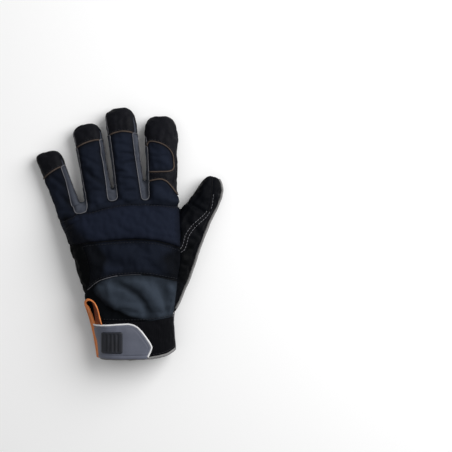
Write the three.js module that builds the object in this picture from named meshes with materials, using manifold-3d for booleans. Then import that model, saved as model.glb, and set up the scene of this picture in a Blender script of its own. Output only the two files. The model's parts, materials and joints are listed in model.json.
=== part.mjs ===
import * as THREE from 'three';
import { mergeVertices } from 'three/addons/utils/BufferGeometryUtils.js';
import Module from 'manifold-3d';

// A left-hand mechanic's glove, lying palm down with its fingers along +Y and its thumb towards +X.
// All sizes are in millimetres. The origin is the flat rest of the heel patch under the palm.

const wasm = await Module();
wasm.setup();

// Main sizes of the hand
const HAND_LENGTH = 150;
const HAND_WIDTH = 117;
const HAND_THICK = 35;
const PALM_REST_ALONG = 0.62;

// Cloth and leather
const WALL = 1.4;
const GAP = 0.3;
const PALM_PATCH = 1.4;
const KNUCKLE_PAD_RAISE = 2.8;
const KNUCKLE_PAD_BEVEL = 3.5;
const KNUCKLE_PAD_SIDE = 5;
const FOLD_RISE = 1.7;
const FOLD_WIDTH = 7;

// Wrist closing
const BINDING_WIDTH = 3.2;
const BINDING_RAISE = 0.5;
const STRAP_THICK = 2.2;
const STRAP_EDGE_WIDTH = 2.4;
const STRAP_EDGE_RAISE = 0.8;
const GRIP_BAR_COUNT = 5;
const GRIP_BAR_WIDTH = 2.2;
const GRIP_BAR_PITCH = 4.2;
const GRIP_BAR_LENGTH = 17;
const GRIP_BAR_RAISE = 0.7;
const GRIP_PLATE_THICK = 0.6;
const GRIP_PLATE_MARGIN = 1.8;

// Loop webbing and thumb piping
const LOOP_TAPE_WIDTH = 9;
const LOOP_TAPE_THICK = 1.5;
const PIPING_RADIUS = 1.1;

// Facets, and how finely curved seams are stepped
const HAND_SIDES = 26;
const FINGER_SIDES = 16;
const THUMB_SIDES = 16;
const PIPING_SIDES = 6;
const CAP_STEPS = 6;
const CURVE_STEPS = 8;
const THUMB_SEAM_STEPS = 14;
const INSERT_STEPS = 16;
const PATCH_STEPS = 24;
const MERGE_DISTANCE = 1e-4;
const SIMPLIFY_DISTANCE = 0.1;

// Shape of a section: a rounded box whose underside is pressed flat
const SECTION_POWER = 2.5;
const PRESSED_SHARE = 0.12;

// Reach of the shapes that cut fingers into pieces, in shares of a finger's own width and length, and
// in shares of the hand's length for the ones that cut across all fingers
const TIP_REACH = 0.56;
const BEYOND_TIP = 1.3;
const STRIP_STATIONS = [1.1, 0.55, 0.16, 0];
const BEYOND_HAND = 3;

// Sections of the hand. along: share of the hand's length from the hem. left, right: shares of its
// width. thick: share of its thickness. raised: share of the palm patch's height that it stands on.
// bound: share of the hem binding's proud edge that it stands on.
const HAND_ROWS = [
  { along: -0.08, left: -0.270, right: 0.345, thick: 1.03, raised: 0, bound: 1 },
  { along: 0.10, left: -0.296, right: 0.333, thick: 1.03, raised: 0, bound: 1 },
  { along: 0.23, left: -0.332, right: 0.320, thick: 1.00, raised: 0, bound: 1 },
  { along: 0.30, left: -0.361, right: 0.325, thick: 0.96, raised: 0.4 },
  { along: 0.35, left: -0.386, right: 0.342, thick: 0.97, raised: 1 },
  { along: 0.40, left: -0.407, right: 0.358, thick: 0.98, raised: 1 },
  { along: 0.45, left: -0.427, right: 0.372, thick: 0.99, raised: 1 },
  { along: 0.50, left: -0.448, right: 0.382, thick: 1.00, raised: 1 },
  { along: 0.57, left: -0.476, right: 0.392, thick: 1.00, raised: 1 },
  { along: 0.67, left: -0.518, right: 0.400, thick: 1.00, raised: 1 },
  { along: 0.74, left: -0.547, right: 0.399, thick: 0.98, raised: 1 },
  { along: 0.85, left: -0.592, right: 0.388, thick: 0.90, raised: 1 },
  { along: 0.93, left: -0.612, right: 0.372, thick: 0.81, raised: 1 },
  { along: 0.98, left: -0.560, right: 0.350, thick: 0.73, raised: 1 },
  { along: 1.01, left: -0.440, right: 0.320, thick: 0.66, raised: 1 },
  { along: 1.035, left: -0.290, right: 0.220, thick: 0.58, raised: 1 },
  { along: 1.09, left: -0.250, right: -0.120, thick: 0.52, raised: 1 },
];

// Sections of a finger. along: share of its length from the root. left, right: shares of its width.
// thick, lift: shares of its thickness. raised: as for the hand.
const FINGER_ROWS = [
  { along: 0.00, left: -0.52, right: 0.52, thick: 1.25, lift: 0, raised: 1 },
  { along: 0.18, left: -0.51, right: 0.51, thick: 1.15, lift: 0, raised: 1 },
  { along: 0.32, left: -0.49, right: 0.49, thick: 1.06, lift: 0, raised: 0.8 },
  { along: 0.50, left: -0.485, right: 0.485, thick: 1.00, lift: 0, raised: 0.3 },
  { along: 0.68, left: -0.50, right: 0.50, thick: 1.00, lift: 0, raised: 0 },
  { along: 0.84, left: -0.51, right: 0.51, thick: 0.97, lift: 0, raised: 0 },
  { along: 0.91, left: -0.48, right: 0.48, thick: 0.89, lift: 0.03, raised: 0 },
  { along: 0.955, left: -0.41, right: 0.41, thick: 0.74, lift: 0.09, raised: 0 },
  { along: 0.985, left: -0.30, right: 0.30, thick: 0.52, lift: 0.20, raised: 0 },
  { along: 1.00, left: -0.17, right: 0.17, thick: 0.28, lift: 0.32, raised: 0 },
];

// Sections of the thumb and the swell at its root, with the same columns
const THUMB_ROWS = [
  { along: -0.06, left: -0.40, right: 0.95, thick: 0.96, lift: 0, raised: 1 },
  { along: 0.00, left: -0.60, right: 0.94, thick: 1.00, lift: 0, raised: 1 },
  { along: 0.04, left: -0.74, right: 0.93, thick: 1.04, lift: 0, raised: 1 },
  { along: 0.17, left: -0.89, right: 0.88, thick: 1.12, lift: 0, raised: 1 },
  { along: 0.30, left: -0.89, right: 0.80, thick: 1.16, lift: 0, raised: 1 },
  { along: 0.42, left: -0.81, right: 0.69, thick: 1.15, lift: 0, raised: 1 },
  { along: 0.545, left: -0.74, right: 0.61, thick: 1.10, lift: 0, raised: 1 },
  { along: 0.62, left: -0.68, right: 0.555, thick: 1.06, lift: 0, raised: 0.6 },
  { along: 0.68, left: -0.63, right: 0.53, thick: 1.02, lift: 0, raised: 0.3 },
  { along: 0.74, left: -0.54, right: 0.52, thick: 1.00, lift: 0, raised: 0 },
  { along: 0.81, left: -0.49, right: 0.50, thick: 0.97, lift: 0, raised: 0 },
  { along: 0.88, left: -0.46, right: 0.465, thick: 0.91, lift: 0.02, raised: 0 },
  { along: 0.94, left: -0.41, right: 0.38, thick: 0.78, lift: 0.08, raised: 0 },
  { along: 0.977, left: -0.33, right: 0.24, thick: 0.58, lift: 0.17, raised: 0 },
  { along: 1.00, left: -0.20, right: 0.08, thick: 0.32, lift: 0.30, raised: 0 },
];

// Soft folds pressed into the back. Each runs from one spot to another. rise, width: shares of a
// fold's rise and width; a negative rise is a furrow.
const FOLDS = [
  { fromAcross: -0.22, fromAlong: 0.50, toAcross: 0.22, toAlong: 0.35, rise: 1, width: 1 },
  { fromAcross: -0.10, fromAlong: 0.41, toAcross: 0.14, toAlong: 0.29, rise: -0.94, width: 0.86 },
  { fromAcross: -0.40, fromAlong: 0.72, toAcross: 0.02, toAlong: 0.745, rise: -0.76, width: 0.71 },
  { fromAcross: 0.02, fromAlong: 0.745, toAcross: 0.36, toAlong: 0.69, rise: -0.76, width: 0.71 },
];

// Digits. across, along: where the root lies, in shares of the hand's width and length. lean: degrees
// from straight ahead, towards the thumb. seams: how far out the back cloth reaches, in shares of half
// the width, at the tip, the middle and the root. cap: where the fingertip's seam runs.
const DIGITS = {
  little: {
    across: -0.498, along: 0.860, lean: -21.5, length: 76.6, width: 24.4, thick: 17.5,
    seams: { left: [2, 2, 2], right: [0.72, 0.62, 0.30] },
    cap: { left: 0.69, middle: 0.745, right: 0.765 },
  },
  ring: {
    across: -0.276, along: 0.905, lean: -9.7, length: 93, width: 27.4, thick: 19,
    seams: { left: [0.86, 0.84, 0.80], right: [0.78, 0.76, 0.70] },
    cap: { left: 0.76, middle: 0.81, right: 0.815 },
  },
  middle: {
    across: -0.019, along: 0.918, lean: -7.35, length: 106.1, width: 29.2, thick: 20,
    seams: { left: [0.82, 0.78, 0.80], right: [0.70, 0.68, 0.76] },
    cap: { left: 0.755, middle: 0.785, right: 0.74 },
  },
  index: {
    across: 0.228, along: 0.931, lean: -1.6, length: 95.1, width: 30.4, thick: 20.5,
    seams: { left: [0.84, 0.80, 0.78], right: [2, 2, 2] },
    cap: { left: 0.70, middle: 0.69, right: 0.70 },
  },
};
const THUMB = { across: 0.162, along: 0.411, lean: 27.96, length: 128, width: 26.2, thick: 23.5 };
const THUMB_CAP = { left: 0.70, middle: 0.71, right: 0.70 };

// Height of the seam line between back and palm. along, height: shares of the hand's length, thickness.
const PARTING = [
  { along: -0.2, height: 0.48 },
  { along: 0.75, height: 0.44 },
  { along: 1.0, height: 0.28 },
  { along: 1.3, height: 0.24 },
  { along: 1.9, height: 0.22 },
];

// Seams seen from above. across, along: shares of the hand's width and length from the hem. Seams of
// the thumb have its own shares instead. forward: share of its length from its root. right: share of
// its width, from its middle line.
const SEAMS = {
  fingerRoots: [
    { across: -0.80, along: 0.84 }, { across: -0.45, along: 0.91 }, { across: -0.29, along: 0.985 },
    { across: -0.17, along: 1.017 }, { across: 0.09, along: 1.018 }, { across: 0.45, along: 1.03 },
  ],
  padTop: [
    { across: -0.80, along: 0.84 }, { across: -0.52, along: 0.912 }, { across: -0.38, along: 0.940 },
    { across: -0.24, along: 0.970 }, { across: -0.10, along: 0.990 }, { across: 0.124, along: 0.998 },
    { across: 0.55, along: 0.975 },
  ],
  padBottom: [
    { across: -0.80, along: 0.690 }, { across: -0.605, along: 0.724 }, { across: -0.282, along: 0.754 },
    { across: 0.017, along: 0.771 }, { across: 0.232, along: 0.754 }, { across: 0.39, along: 0.709 },
    { across: 0.55, along: 0.65 },
  ],
  wristTop: [
    { across: -0.62, along: 0.28 }, { across: -0.404, along: 0.426 }, { across: -0.311, along: 0.498 },
    { across: -0.154, along: 0.537 }, { across: 0.046, along: 0.548 }, { across: 0.26, along: 0.526 },
    { across: 0.55, along: 0.46 },
  ],
  cuffTop: [
    { across: -0.80, along: 0.262 }, { across: -0.207, along: 0.249 }, { across: 0.089, along: 0.248 },
    { across: 0.315, along: 0.272 }, { across: 0.70, along: 0.31 },
  ],
  hem: [
    { across: -0.60, along: -0.003 }, { across: -0.124, along: -0.001 }, { across: 0.116, along: 0.003 },
    { across: 0.26, along: 0.020 }, { across: 0.338, along: 0.054 }, { across: 0.50, along: 0.13 },
  ],
  littleEdge: [
    { across: -0.50, along: 0.86 }, { across: -0.43, along: 0.744 }, { across: -0.37, along: 0.621 },
    { across: -0.36, along: 0.53 }, { across: -0.40, along: 0.433 }, { across: -0.46, along: 0.30 },
  ],
  thumbRoot: [
    { across: 0.49, along: 1.9 }, { across: 0.44, along: 1.12 }, { across: 0.385, along: 1.0 },
    { across: 0.373, along: 0.90 }, { across: 0.39, along: 0.711 }, { across: 0.36, along: 0.504 },
    { across: 0.318, along: 0.265 }, { across: 0.30, along: 0.10 },
  ],
  thumbSeam: [
    { forward: 0.255, right: 0.037 }, { forward: 0.412, right: 0.151 }, { forward: 0.498, right: 0.049 },
    { forward: 0.581, right: 0.071 }, { forward: 0.659, right: 0.196 }, { forward: 0.744, right: 0.326 },
    { forward: 0.849, right: 0.191 }, { forward: 1.128, right: -0.473 },
  ],
  thumbPalm: [
    { across: 0.49, along: 1.9 }, { forward: 0.853, right: -0.807 }, { forward: 0.663, right: -0.720 },
    { forward: 0.575, right: -0.424 }, { forward: 0.475, right: 0.073 }, { forward: 0.343, right: 0.580 },
    { forward: 0.181, right: 0.820 }, { across: 0.30, along: 0.30 }, { across: 0.25, along: 0.10 },
  ],
  indexBand: [
    { across: 0.02, along: 1.14 }, { across: 0.138, along: 1.148 }, { across: 0.207, along: 1.160 },
    { across: 0.26, along: 1.148 }, { across: 0.315, along: 1.099 }, { across: 0.42, along: 0.98 },
  ],
};

// Closed outlines seen from above, with the same columns
const OUTLINES = {
  indexInsert: [
    { across: 0.04, along: 1.400 }, { across: 0.133, along: 1.405 }, { across: 0.232, along: 1.384 },
    { across: 0.300, along: 1.333 }, { across: 0.313, along: 1.26 }, { across: 0.305, along: 1.212 },
    { across: 0.17, along: 1.205 }, { across: 0.04, along: 1.206 },
  ],
  strap: [
    { across: -0.315, along: 0.225 }, { across: -0.04, along: 0.220 }, { across: 0.025, along: 0.204 },
    { across: 0.075, along: 0.172 }, { across: 0.146, along: 0.092 }, { across: 0.110, along: 0.027 },
    { across: -0.278, along: 0.027 },
  ],
  palmUpper: [
    { across: -0.39, along: 0.931 }, { across: -0.332, along: 1.002 }, { across: -0.191, along: 1.005 },
    { across: -0.041, along: 1.012 }, { across: 0.108, along: 1.009 }, { across: 0.274, along: 1.002 },
    { across: 0.320, along: 0.964 }, { across: 0.305, along: 0.825 }, { across: 0.207, along: 0.834 },
    { across: 0.041, along: 0.873 }, { across: -0.166, along: 0.886 }, { across: -0.356, along: 0.879 },
  ],
  palmHeel: [
    { across: -0.410, along: 0.600 }, { across: -0.323, along: 0.640 }, { across: -0.191, along: 0.666 },
    { across: -0.041, along: 0.698 }, { across: 0.124, along: 0.718 }, { across: 0.207, along: 0.685 },
    { across: 0.224, along: 0.556 }, { across: 0.182, along: 0.440 }, { across: 0.041, along: 0.388 },
    { across: -0.207, along: 0.382 }, { across: -0.340, along: 0.427 }, { across: -0.400, along: 0.517 },
  ],
  palmThumb: [
    { forward: 0.358, right: -0.449 }, { forward: 0.414, right: -0.259 }, { forward: 0.377, right: 0.128 },
    { forward: 0.282, right: 0.503 }, { forward: 0.157, right: 0.618 }, { forward: 0.065, right: 0.399 },
    { forward: 0.134, right: 0.094 }, { forward: 0.258, right: -0.189 },
  ],
};

// Middle line of the pull loop's tape. across, along: as above. height: share of the hand's thickness.
// tilt: how far the tape's width leans from upright, in degrees.
const LOOP_PATH = [
  { across: -0.288, along: 0.010, height: 0.49, tilt: 28 },
  { across: -0.305, along: 0.100, height: 0.49, tilt: 28 },
  { across: -0.335, along: 0.200, height: 0.49, tilt: 28 },
  { across: -0.367, along: 0.280, height: 0.50, tilt: 28 },
  { across: -0.388, along: 0.340, height: 0.54, tilt: 30 },
  { across: -0.395, along: 0.368, height: 0.61, tilt: 34 },
  { across: -0.382, along: 0.386, height: 0.72, tilt: 40 },
  { across: -0.355, along: 0.382, height: 0.85, tilt: 48 },
  { across: -0.330, along: 0.348, height: 0.97, tilt: 54 },
  { across: -0.312, along: 0.290, height: 1.04, tilt: 58 },
  { across: -0.298, along: 0.238, height: 1.07, tilt: 60 },
];

// Middle of the strap's grip plate
const GRIP_CENTRE = { across: -0.18, along: 0.115 };

const LOOKS = {
  backCloth: { color: '#161b27', roughness: 0.85 },
  padCloth: { color: '#191e2a', roughness: 0.85 },
  greyCloth: { color: '#2b323e', roughness: 0.9 },
  sideCloth: { color: '#4c4f63', roughness: 0.9 },
  leather: { color: '#0d0d14', roughness: 0.6 },
  cuffCloth: { color: '#0e0f14', roughness: 0.9 },
  binding: { color: '#8c8b8a', roughness: 0.85 },
  strap: { color: '#5c616e', roughness: 0.6 },
  edging: { color: '#c9c9cd', roughness: 0.5 },
  grip: { color: '#22242b', roughness: 0.6 },
  loop: { color: '#b9642f', roughness: 0.85 },
};

const HALF_GAP = GAP / 2;
const PATCH_HEIGHT = PALM_PATCH + GAP;
const TALL = HAND_THICK * 3;
const WIDE = HAND_WIDTH * 4;
const UP = new THREE.Vector3(0, 0, 1);

function across(share) {
  return share * HAND_WIDTH;
}

function along(share) {
  return (share - PALM_REST_ALONG) * HAND_LENGTH;
}

// Place of a table row seen from above, in the hand's own shares or in the thumb's
function spot(row) {
  if (row.forward !== undefined) {
    return limbSpot(THUMB_LIMB, row.forward * THUMB.length, row.right * THUMB.width);
  }
  return new THREE.Vector2(across(row.across), along(row.along));
}

// Closed solid from a three.js geometry
function solidOf(geometry) {
  geometry.deleteAttribute('normal');
  geometry.deleteAttribute('uv');
  const merged = mergeVertices(geometry, MERGE_DISTANCE);
  return new wasm.Manifold(new wasm.Mesh({
    numProp: 3,
    vertProperties: new Float32Array(merged.attributes.position.array),
    triVerts: new Uint32Array(merged.index.array),
  }));
}

// Solid through a list of rings that all have the same number of corners, closed by a fan at each end
function loftOf(rings) {
  const sides = rings[0].length;
  const points = rings.flat();
  const triangles = [];
  for (let row = 0; row < rings.length - 1; row += 1) {
    for (let side = 0; side < sides; side += 1) {
      const next = (side + 1) % sides;
      const a = row * sides + side;
      const b = row * sides + next;
      triangles.push(a, b, b + sides, a, b + sides, a + sides);
    }
  }
  for (const [row, flip] of [[0, true], [rings.length - 1, false]]) {
    const middle = new THREE.Vector3();
    rings[row].forEach((point) => middle.addScaledVector(point, 1 / sides));
    points.push(middle);
    for (let side = 0; side < sides; side += 1) {
      const a = row * sides + side;
      const b = row * sides + (side + 1) % sides;
      triangles.push(points.length - 1, flip ? b : a, flip ? a : b);
    }
  }
  const geometry = new THREE.BufferGeometry().setFromPoints(points);
  geometry.setIndex(triangles);
  const solid = solidOf(geometry);
  if (solid.volume() > 0) {
    return solid;
  }
  geometry.setIndex(triangles.reverse());
  return solidOf(geometry);
}

const HAND = {
  x: 0, y: along(0), lean: 0, length: HAND_LENGTH, width: HAND_WIDTH, thick: HAND_THICK,
  rows: HAND_ROWS, sides: HAND_SIDES,
};

function digitLimb(size, rows, sides) {
  return { ...size, x: across(size.across), y: along(size.along), rows, sides };
}

const FINGERS = Object.fromEntries(
  Object.entries(DIGITS).map(([name, size]) => [name, digitLimb(size, FINGER_ROWS, FINGER_SIDES)]),
);
const THUMB_LIMB = digitLimb(THUMB, THUMB_ROWS, THUMB_SIDES);

// Place on a limb's plan: a distance from its root along it, and a distance to its right
function limbSpot(limb, forward, right) {
  const lean = THREE.MathUtils.degToRad(limb.lean);
  return new THREE.Vector2(
    limb.x + forward * Math.sin(lean) + right * Math.cos(lean),
    limb.y + forward * Math.cos(lean) - right * Math.sin(lean),
  );
}

// How far the back stands up or sinks at a spot because of its folds
function foldRise(place) {
  return FOLDS.reduce((sum, fold) => {
    const from = spot({ across: fold.fromAcross, along: fold.fromAlong });
    const run = spot({ across: fold.toAcross, along: fold.toAlong }).sub(from);
    const offset = place.clone().sub(from);
    const share = THREE.MathUtils.clamp(offset.dot(run) / run.lengthSq(), 0, 1);
    const distance = offset.addScaledVector(run, -share).length();
    return sum + fold.rise * FOLD_RISE * Math.exp(-((distance / (fold.width * FOLD_WIDTH)) ** 2));
  }, 0);
}

// Height of a section's underside
function underside(limb, row) {
  return row.raised * PATCH_HEIGHT + (row.bound ?? 0) * BINDING_RAISE + (row.lift ?? 0) * limb.thick;
}

// One section of a limb, grown outwards by grow
function section(limb, row, grow) {
  const last = limb.rows[limb.rows.length - 1];
  const forward = row.along * limb.length + (row === last ? grow : 0);
  const middle = (row.left + row.right) / 2 * limb.width;
  const halfWidth = (row.right - row.left) / 2 * limb.width + grow;
  const thick = row.thick * limb.thick;
  const floor = underside(limb, row) - grow;
  const halfHeight = thick / 2 * (1 + PRESSED_SHARE) + grow;
  const centre = floor + grow + thick - (halfHeight - grow);
  const ring = [];
  for (let side = 0; side < limb.sides; side += 1) {
    const turn = side / limb.sides * Math.PI * 2;
    const right = Math.sign(Math.cos(turn)) * Math.abs(Math.cos(turn)) ** (2 / SECTION_POWER);
    const rise = Math.sign(Math.sin(turn)) * Math.abs(Math.sin(turn)) ** (2 / SECTION_POWER);
    const place = limbSpot(limb, forward, middle + right * halfWidth);
    const height = Math.max(floor, centre + rise * halfHeight);
    ring.push(new THREE.Vector3(place.x, place.y, height + Math.max(0, rise) * foldRise(place)));
  }
  return ring;
}

function limbSolid(limb, grow) {
  return loftOf(limb.rows.map((row) => section(limb, row, grow)));
}

// The whole glove's outer skin, grown by grow; a negative grow gives the hollow
function skin(grow) {
  const limbs = [HAND, ...Object.values(FINGERS), THUMB_LIMB];
  return limbs.map((limb) => limbSolid(limb, grow)).reduce((sum, limb) => sum.add(limb));
}

// Outline moved outwards by grow, corner by corner
function grownOutline(points, grow) {
  const turns = THREE.ShapeUtils.isClockWise(points) ? -1 : 1;
  return points.map((point, index) => {
    const before = points[(index + points.length - 1) % points.length];
    const after = points[(index + 1) % points.length];
    const arrive = point.clone().sub(before).normalize();
    const leave = after.clone().sub(point).normalize();
    const outA = new THREE.Vector2(arrive.y, -arrive.x);
    const outB = new THREE.Vector2(leave.y, -leave.x);
    const out = outA.clone().add(outB).normalize();
    return point.clone().addScaledVector(out, turns * grow / Math.max(0.5, out.dot(outA)));
  });
}

// Upright prism over an outline seen from above
function prism(points, grow = 0) {
  const shape = new THREE.Shape(grownOutline(points, grow));
  const geometry = new THREE.ExtrudeGeometry(shape, { depth: TALL, bevelEnabled: false, curveSegments: 1 });
  geometry.translate(0, 0, -TALL / 3);
  return solidOf(geometry);
}

function curve(rows, steps = CURVE_STEPS) {
  return new THREE.SplineCurve(rows.map(spot)).getPoints(steps);
}

// Region between two seams that both run from left to right
function between(upper, lower, grow, lowerShift = 0, upperShift = 0) {
  const top = curve(upper).map((point) => point.add(new THREE.Vector2(0, upperShift)));
  const bottom = curve(lower).map((point) => point.add(new THREE.Vector2(0, lowerShift)));
  return prism([...top, ...bottom.reverse()], grow);
}

// Region to one side of a seam that runs from the fingers to the wrist
function beside(rows, side, grow) {
  const points = curve(rows);
  const first = points[0];
  const last = points[points.length - 1];
  const far = side * WIDE / 2;
  return prism([...points, new THREE.Vector2(far, last.y), new THREE.Vector2(far, first.y)], grow);
}

// Everything below the parting seam, moved up by grow
function palmHalf(grow) {
  const profile = PARTING.map((row) => new THREE.Vector2(along(row.along), row.height * HAND_THICK + grow));
  profile.push(new THREE.Vector2(profile[profile.length - 1].x, -TALL));
  profile.push(new THREE.Vector2(profile[0].x, -TALL));
  const geometry = new THREE.ExtrudeGeometry(new THREE.Shape(profile), { depth: WIDE, bevelEnabled: false });
  geometry.translate(0, 0, -WIDE / 2);
  const turned = new THREE.Matrix4().makeBasis(new THREE.Vector3(0, 1, 0), UP, new THREE.Vector3(1, 0, 0));
  geometry.applyMatrix4(turned);
  return solidOf(geometry);
}

// Strip of back cloth along a finger, between its two side seams
function backStrip(limb, grow) {
  const half = limb.width / 2;
  const share = (list) => [list[0], list[1], list[2], list[2]];
  const left = share(limb.seams.left).map((value, index) => (
    limbSpot(limb, STRIP_STATIONS[index] * limb.length, -value * half)));
  const right = share(limb.seams.right).map((value, index) => (
    limbSpot(limb, STRIP_STATIONS[index] * limb.length, value * half)));
  return prism([...left.reverse(), ...right], grow);
}

// Fingertip beyond its seam, which crosses the finger in an arc
function tipRegion(limb, cap, grow) {
  const reach = limb.width * TIP_REACH;
  const seam = new THREE.SplineCurve([
    limbSpot(limb, cap.left * limb.length, -reach),
    limbSpot(limb, cap.middle * limb.length, 0),
    limbSpot(limb, cap.right * limb.length, reach),
  ]).getPoints(CAP_STEPS);
  const far = limb.length * BEYOND_TIP;
  return prism([...seam, limbSpot(limb, far, reach), limbSpot(limb, far, -reach)], grow);
}

// Region between the middle lines of two neighbouring fingers
function betweenFingers(first, second) {
  return prism([
    limbSpot(first, 0, 0), limbSpot(first, first.length * BEYOND_TIP, 0),
    limbSpot(second, second.length * BEYOND_TIP, 0), limbSpot(second, 0, 0),
  ]);
}

// The hand's outline seen from above
function handPlan(grow) {
  const left = HAND_ROWS.map((row) => new THREE.Vector2(across(row.left), along(row.along)));
  const right = HAND_ROWS.map((row) => new THREE.Vector2(across(row.right), along(row.along)));
  return prism([...left, ...right.reverse()], grow);
}

// Tape or cord through a list of stations; corners gives the section's corners at each of them
function sweep(stations, corners) {
  const rings = stations.map((station, index) => {
    const before = stations[Math.max(0, index - 1)].place;
    const after = stations[Math.min(stations.length - 1, index + 1)].place;
    const ahead = after.clone().sub(before).normalize();
    const broad = station.broad.clone().addScaledVector(ahead, -station.broad.dot(ahead)).normalize();
    const thin = new THREE.Vector3().crossVectors(ahead, broad);
    return corners.map(([b, t]) => station.place.clone().addScaledVector(broad, b).addScaledVector(thin, t));
  });
  return loftOf(rings);
}

const glove = new THREE.Group();

// Adds a solid as a named sub-part, without the loose slivers that a cut can leave
function addPiece(name, solid, look) {
  const parts = solid.decompose().sort((a, b) => b.volume() - a.volume());
  const mesh = parts[0].simplify(SIMPLIFY_DISTANCE).getMesh();
  const geometry = new THREE.BufferGeometry();
  geometry.setAttribute('position', new THREE.BufferAttribute(new Float32Array(mesh.vertProperties), 3));
  geometry.setIndex(new THREE.BufferAttribute(new Uint32Array(mesh.triVerts), 1));
  geometry.computeVertexNormals();
  const piece = new THREE.Mesh(geometry, new THREE.MeshStandardMaterial({ ...LOOKS[look], metalness: 0 }));
  piece.name = name;
  glove.add(piece);
}

// Shell and its two halves
const outside = skin(0);
const hollow = skin(-WALL);
const shell = outside.subtract(hollow);
const palmShell = shell.intersect(palmHalf(-HALF_GAP));
const backShell = shell.subtract(palmHalf(HALF_GAP));
const aboveCuff = (grow) => between([
  { across: -2, along: BEYOND_HAND }, { across: 0, along: BEYOND_HAND }, { across: 2, along: BEYOND_HAND },
], SEAMS.cuffTop, grow);

// Regions of the back
const { little, ring, middle, index } = FINGERS;
const longFingerBacks = (grow) => [ring, middle, index]
  .map((limb) => backStrip(limb, grow))
  .reduce((sum, strip) => sum.add(strip), between(SEAMS.fingerRoots, SEAMS.padBottom, grow));
const backRegion = (grow) => longFingerBacks(grow).add(backStrip(little, grow));
const handSide = (grow) => beside(SEAMS.thumbRoot, -1, grow);
const thumbSide = (grow) => beside(SEAMS.thumbRoot, 1, grow);
const padRegion = (grow) => between(SEAMS.padTop, SEAMS.padBottom, grow);
const tips = (grow) => [little, ring, middle, index]
  .map((limb) => tipRegion(limb, limb.cap, grow))
  .reduce((sum, tip) => sum.add(tip));
const bandRegion = (grow) => between([
  { across: 0.02, along: BEYOND_HAND }, { across: 0.2, along: BEYOND_HAND },
  { across: 0.42, along: BEYOND_HAND },
], SEAMS.indexBand, grow);
const insertRegion = (grow) => prism(curve(OUTLINES.indexInsert, INSERT_STEPS), grow);

function addBack() {
  const indexLeather = backStrip(index, -HALF_GAP).intersect(bandRegion(-HALF_GAP));
  const knuckleSide = padRegion(HALF_GAP).add(tips(HALF_GAP));
  const fingerBacks = backShell.intersect(longFingerBacks(-HALF_GAP)).intersect(handSide(-HALF_GAP))
    .subtract(knuckleSide).subtract(backStrip(little, HALF_GAP))
    .subtract(bandRegion(HALF_GAP).intersect(backStrip(index, GAP)));
  addPiece('back_panel', fingerBacks, 'backCloth');
  const littleBack = backShell.intersect(backStrip(little, -HALF_GAP)).subtract(knuckleSide);
  addPiece('little_back', littleBack, 'backCloth');

  const insert = backShell.intersect(insertRegion(-HALF_GAP)).intersect(backStrip(index, -HALF_GAP));
  addPiece('index_insert', insert, 'backCloth');
  const window = insertRegion(HALF_GAP).intersect(backStrip(index, HALF_GAP)).subtract(palmHalf(HALF_GAP));
  const wrap = backShell.intersect(indexLeather)
    .add(shell.intersect(tipRegion(index, index.cap, -HALF_GAP))).subtract(window);
  addPiece('index_wrap', wrap, 'leather');

  const step = (raise, bevel) => skin(raise).subtract(hollow)
    .intersect(padRegion(-bevel)).intersect(handPlan(-KNUCKLE_PAD_SIDE - bevel));
  const pad = shell.intersect(padRegion(-HALF_GAP))
    .add(step(KNUCKLE_PAD_RAISE / 2, HALF_GAP)).add(step(KNUCKLE_PAD_RAISE, KNUCKLE_PAD_BEVEL))
    .intersect(handSide(-HALF_GAP)).subtract(palmHalf(HALF_GAP));
  addPiece('knuckle_pad', pad, 'padCloth');

  const metacarpal = backShell.intersect(between(SEAMS.padBottom, SEAMS.wristTop, -HALF_GAP))
    .intersect(handSide(-HALF_GAP)).intersect(beside(SEAMS.littleEdge, 1, -HALF_GAP));
  addPiece('metacarpal_panel', metacarpal, 'backCloth');

  const wrist = backShell.intersect(between(SEAMS.wristTop, SEAMS.cuffTop, -HALF_GAP))
    .intersect(handSide(-HALF_GAP));
  addPiece('wrist_panel', wrist, 'greyCloth');
}

function addFingerSides() {
  const pairs = [['little', 'ring'], ['ring', 'middle'], ['middle', 'index']];
  const taken = backRegion(HALF_GAP).add(tips(HALF_GAP)).add(padRegion(HALF_GAP));
  for (const [first, second] of pairs) {
    const zone = betweenFingers(FINGERS[first], FINGERS[second]);
    addPiece(`fourchette_${first}_${second}`, backShell.intersect(zone).subtract(taken), 'sideCloth');
  }
  for (const name of ['little', 'ring']) {
    const limb = FINGERS[name];
    addPiece(`cap_${name}`, backShell.intersect(tipRegion(limb, limb.cap, -HALF_GAP)), 'leather');
  }
  addPiece('cap_middle', shell.intersect(tipRegion(middle, middle.cap, -HALF_GAP)), 'leather');
}

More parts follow.
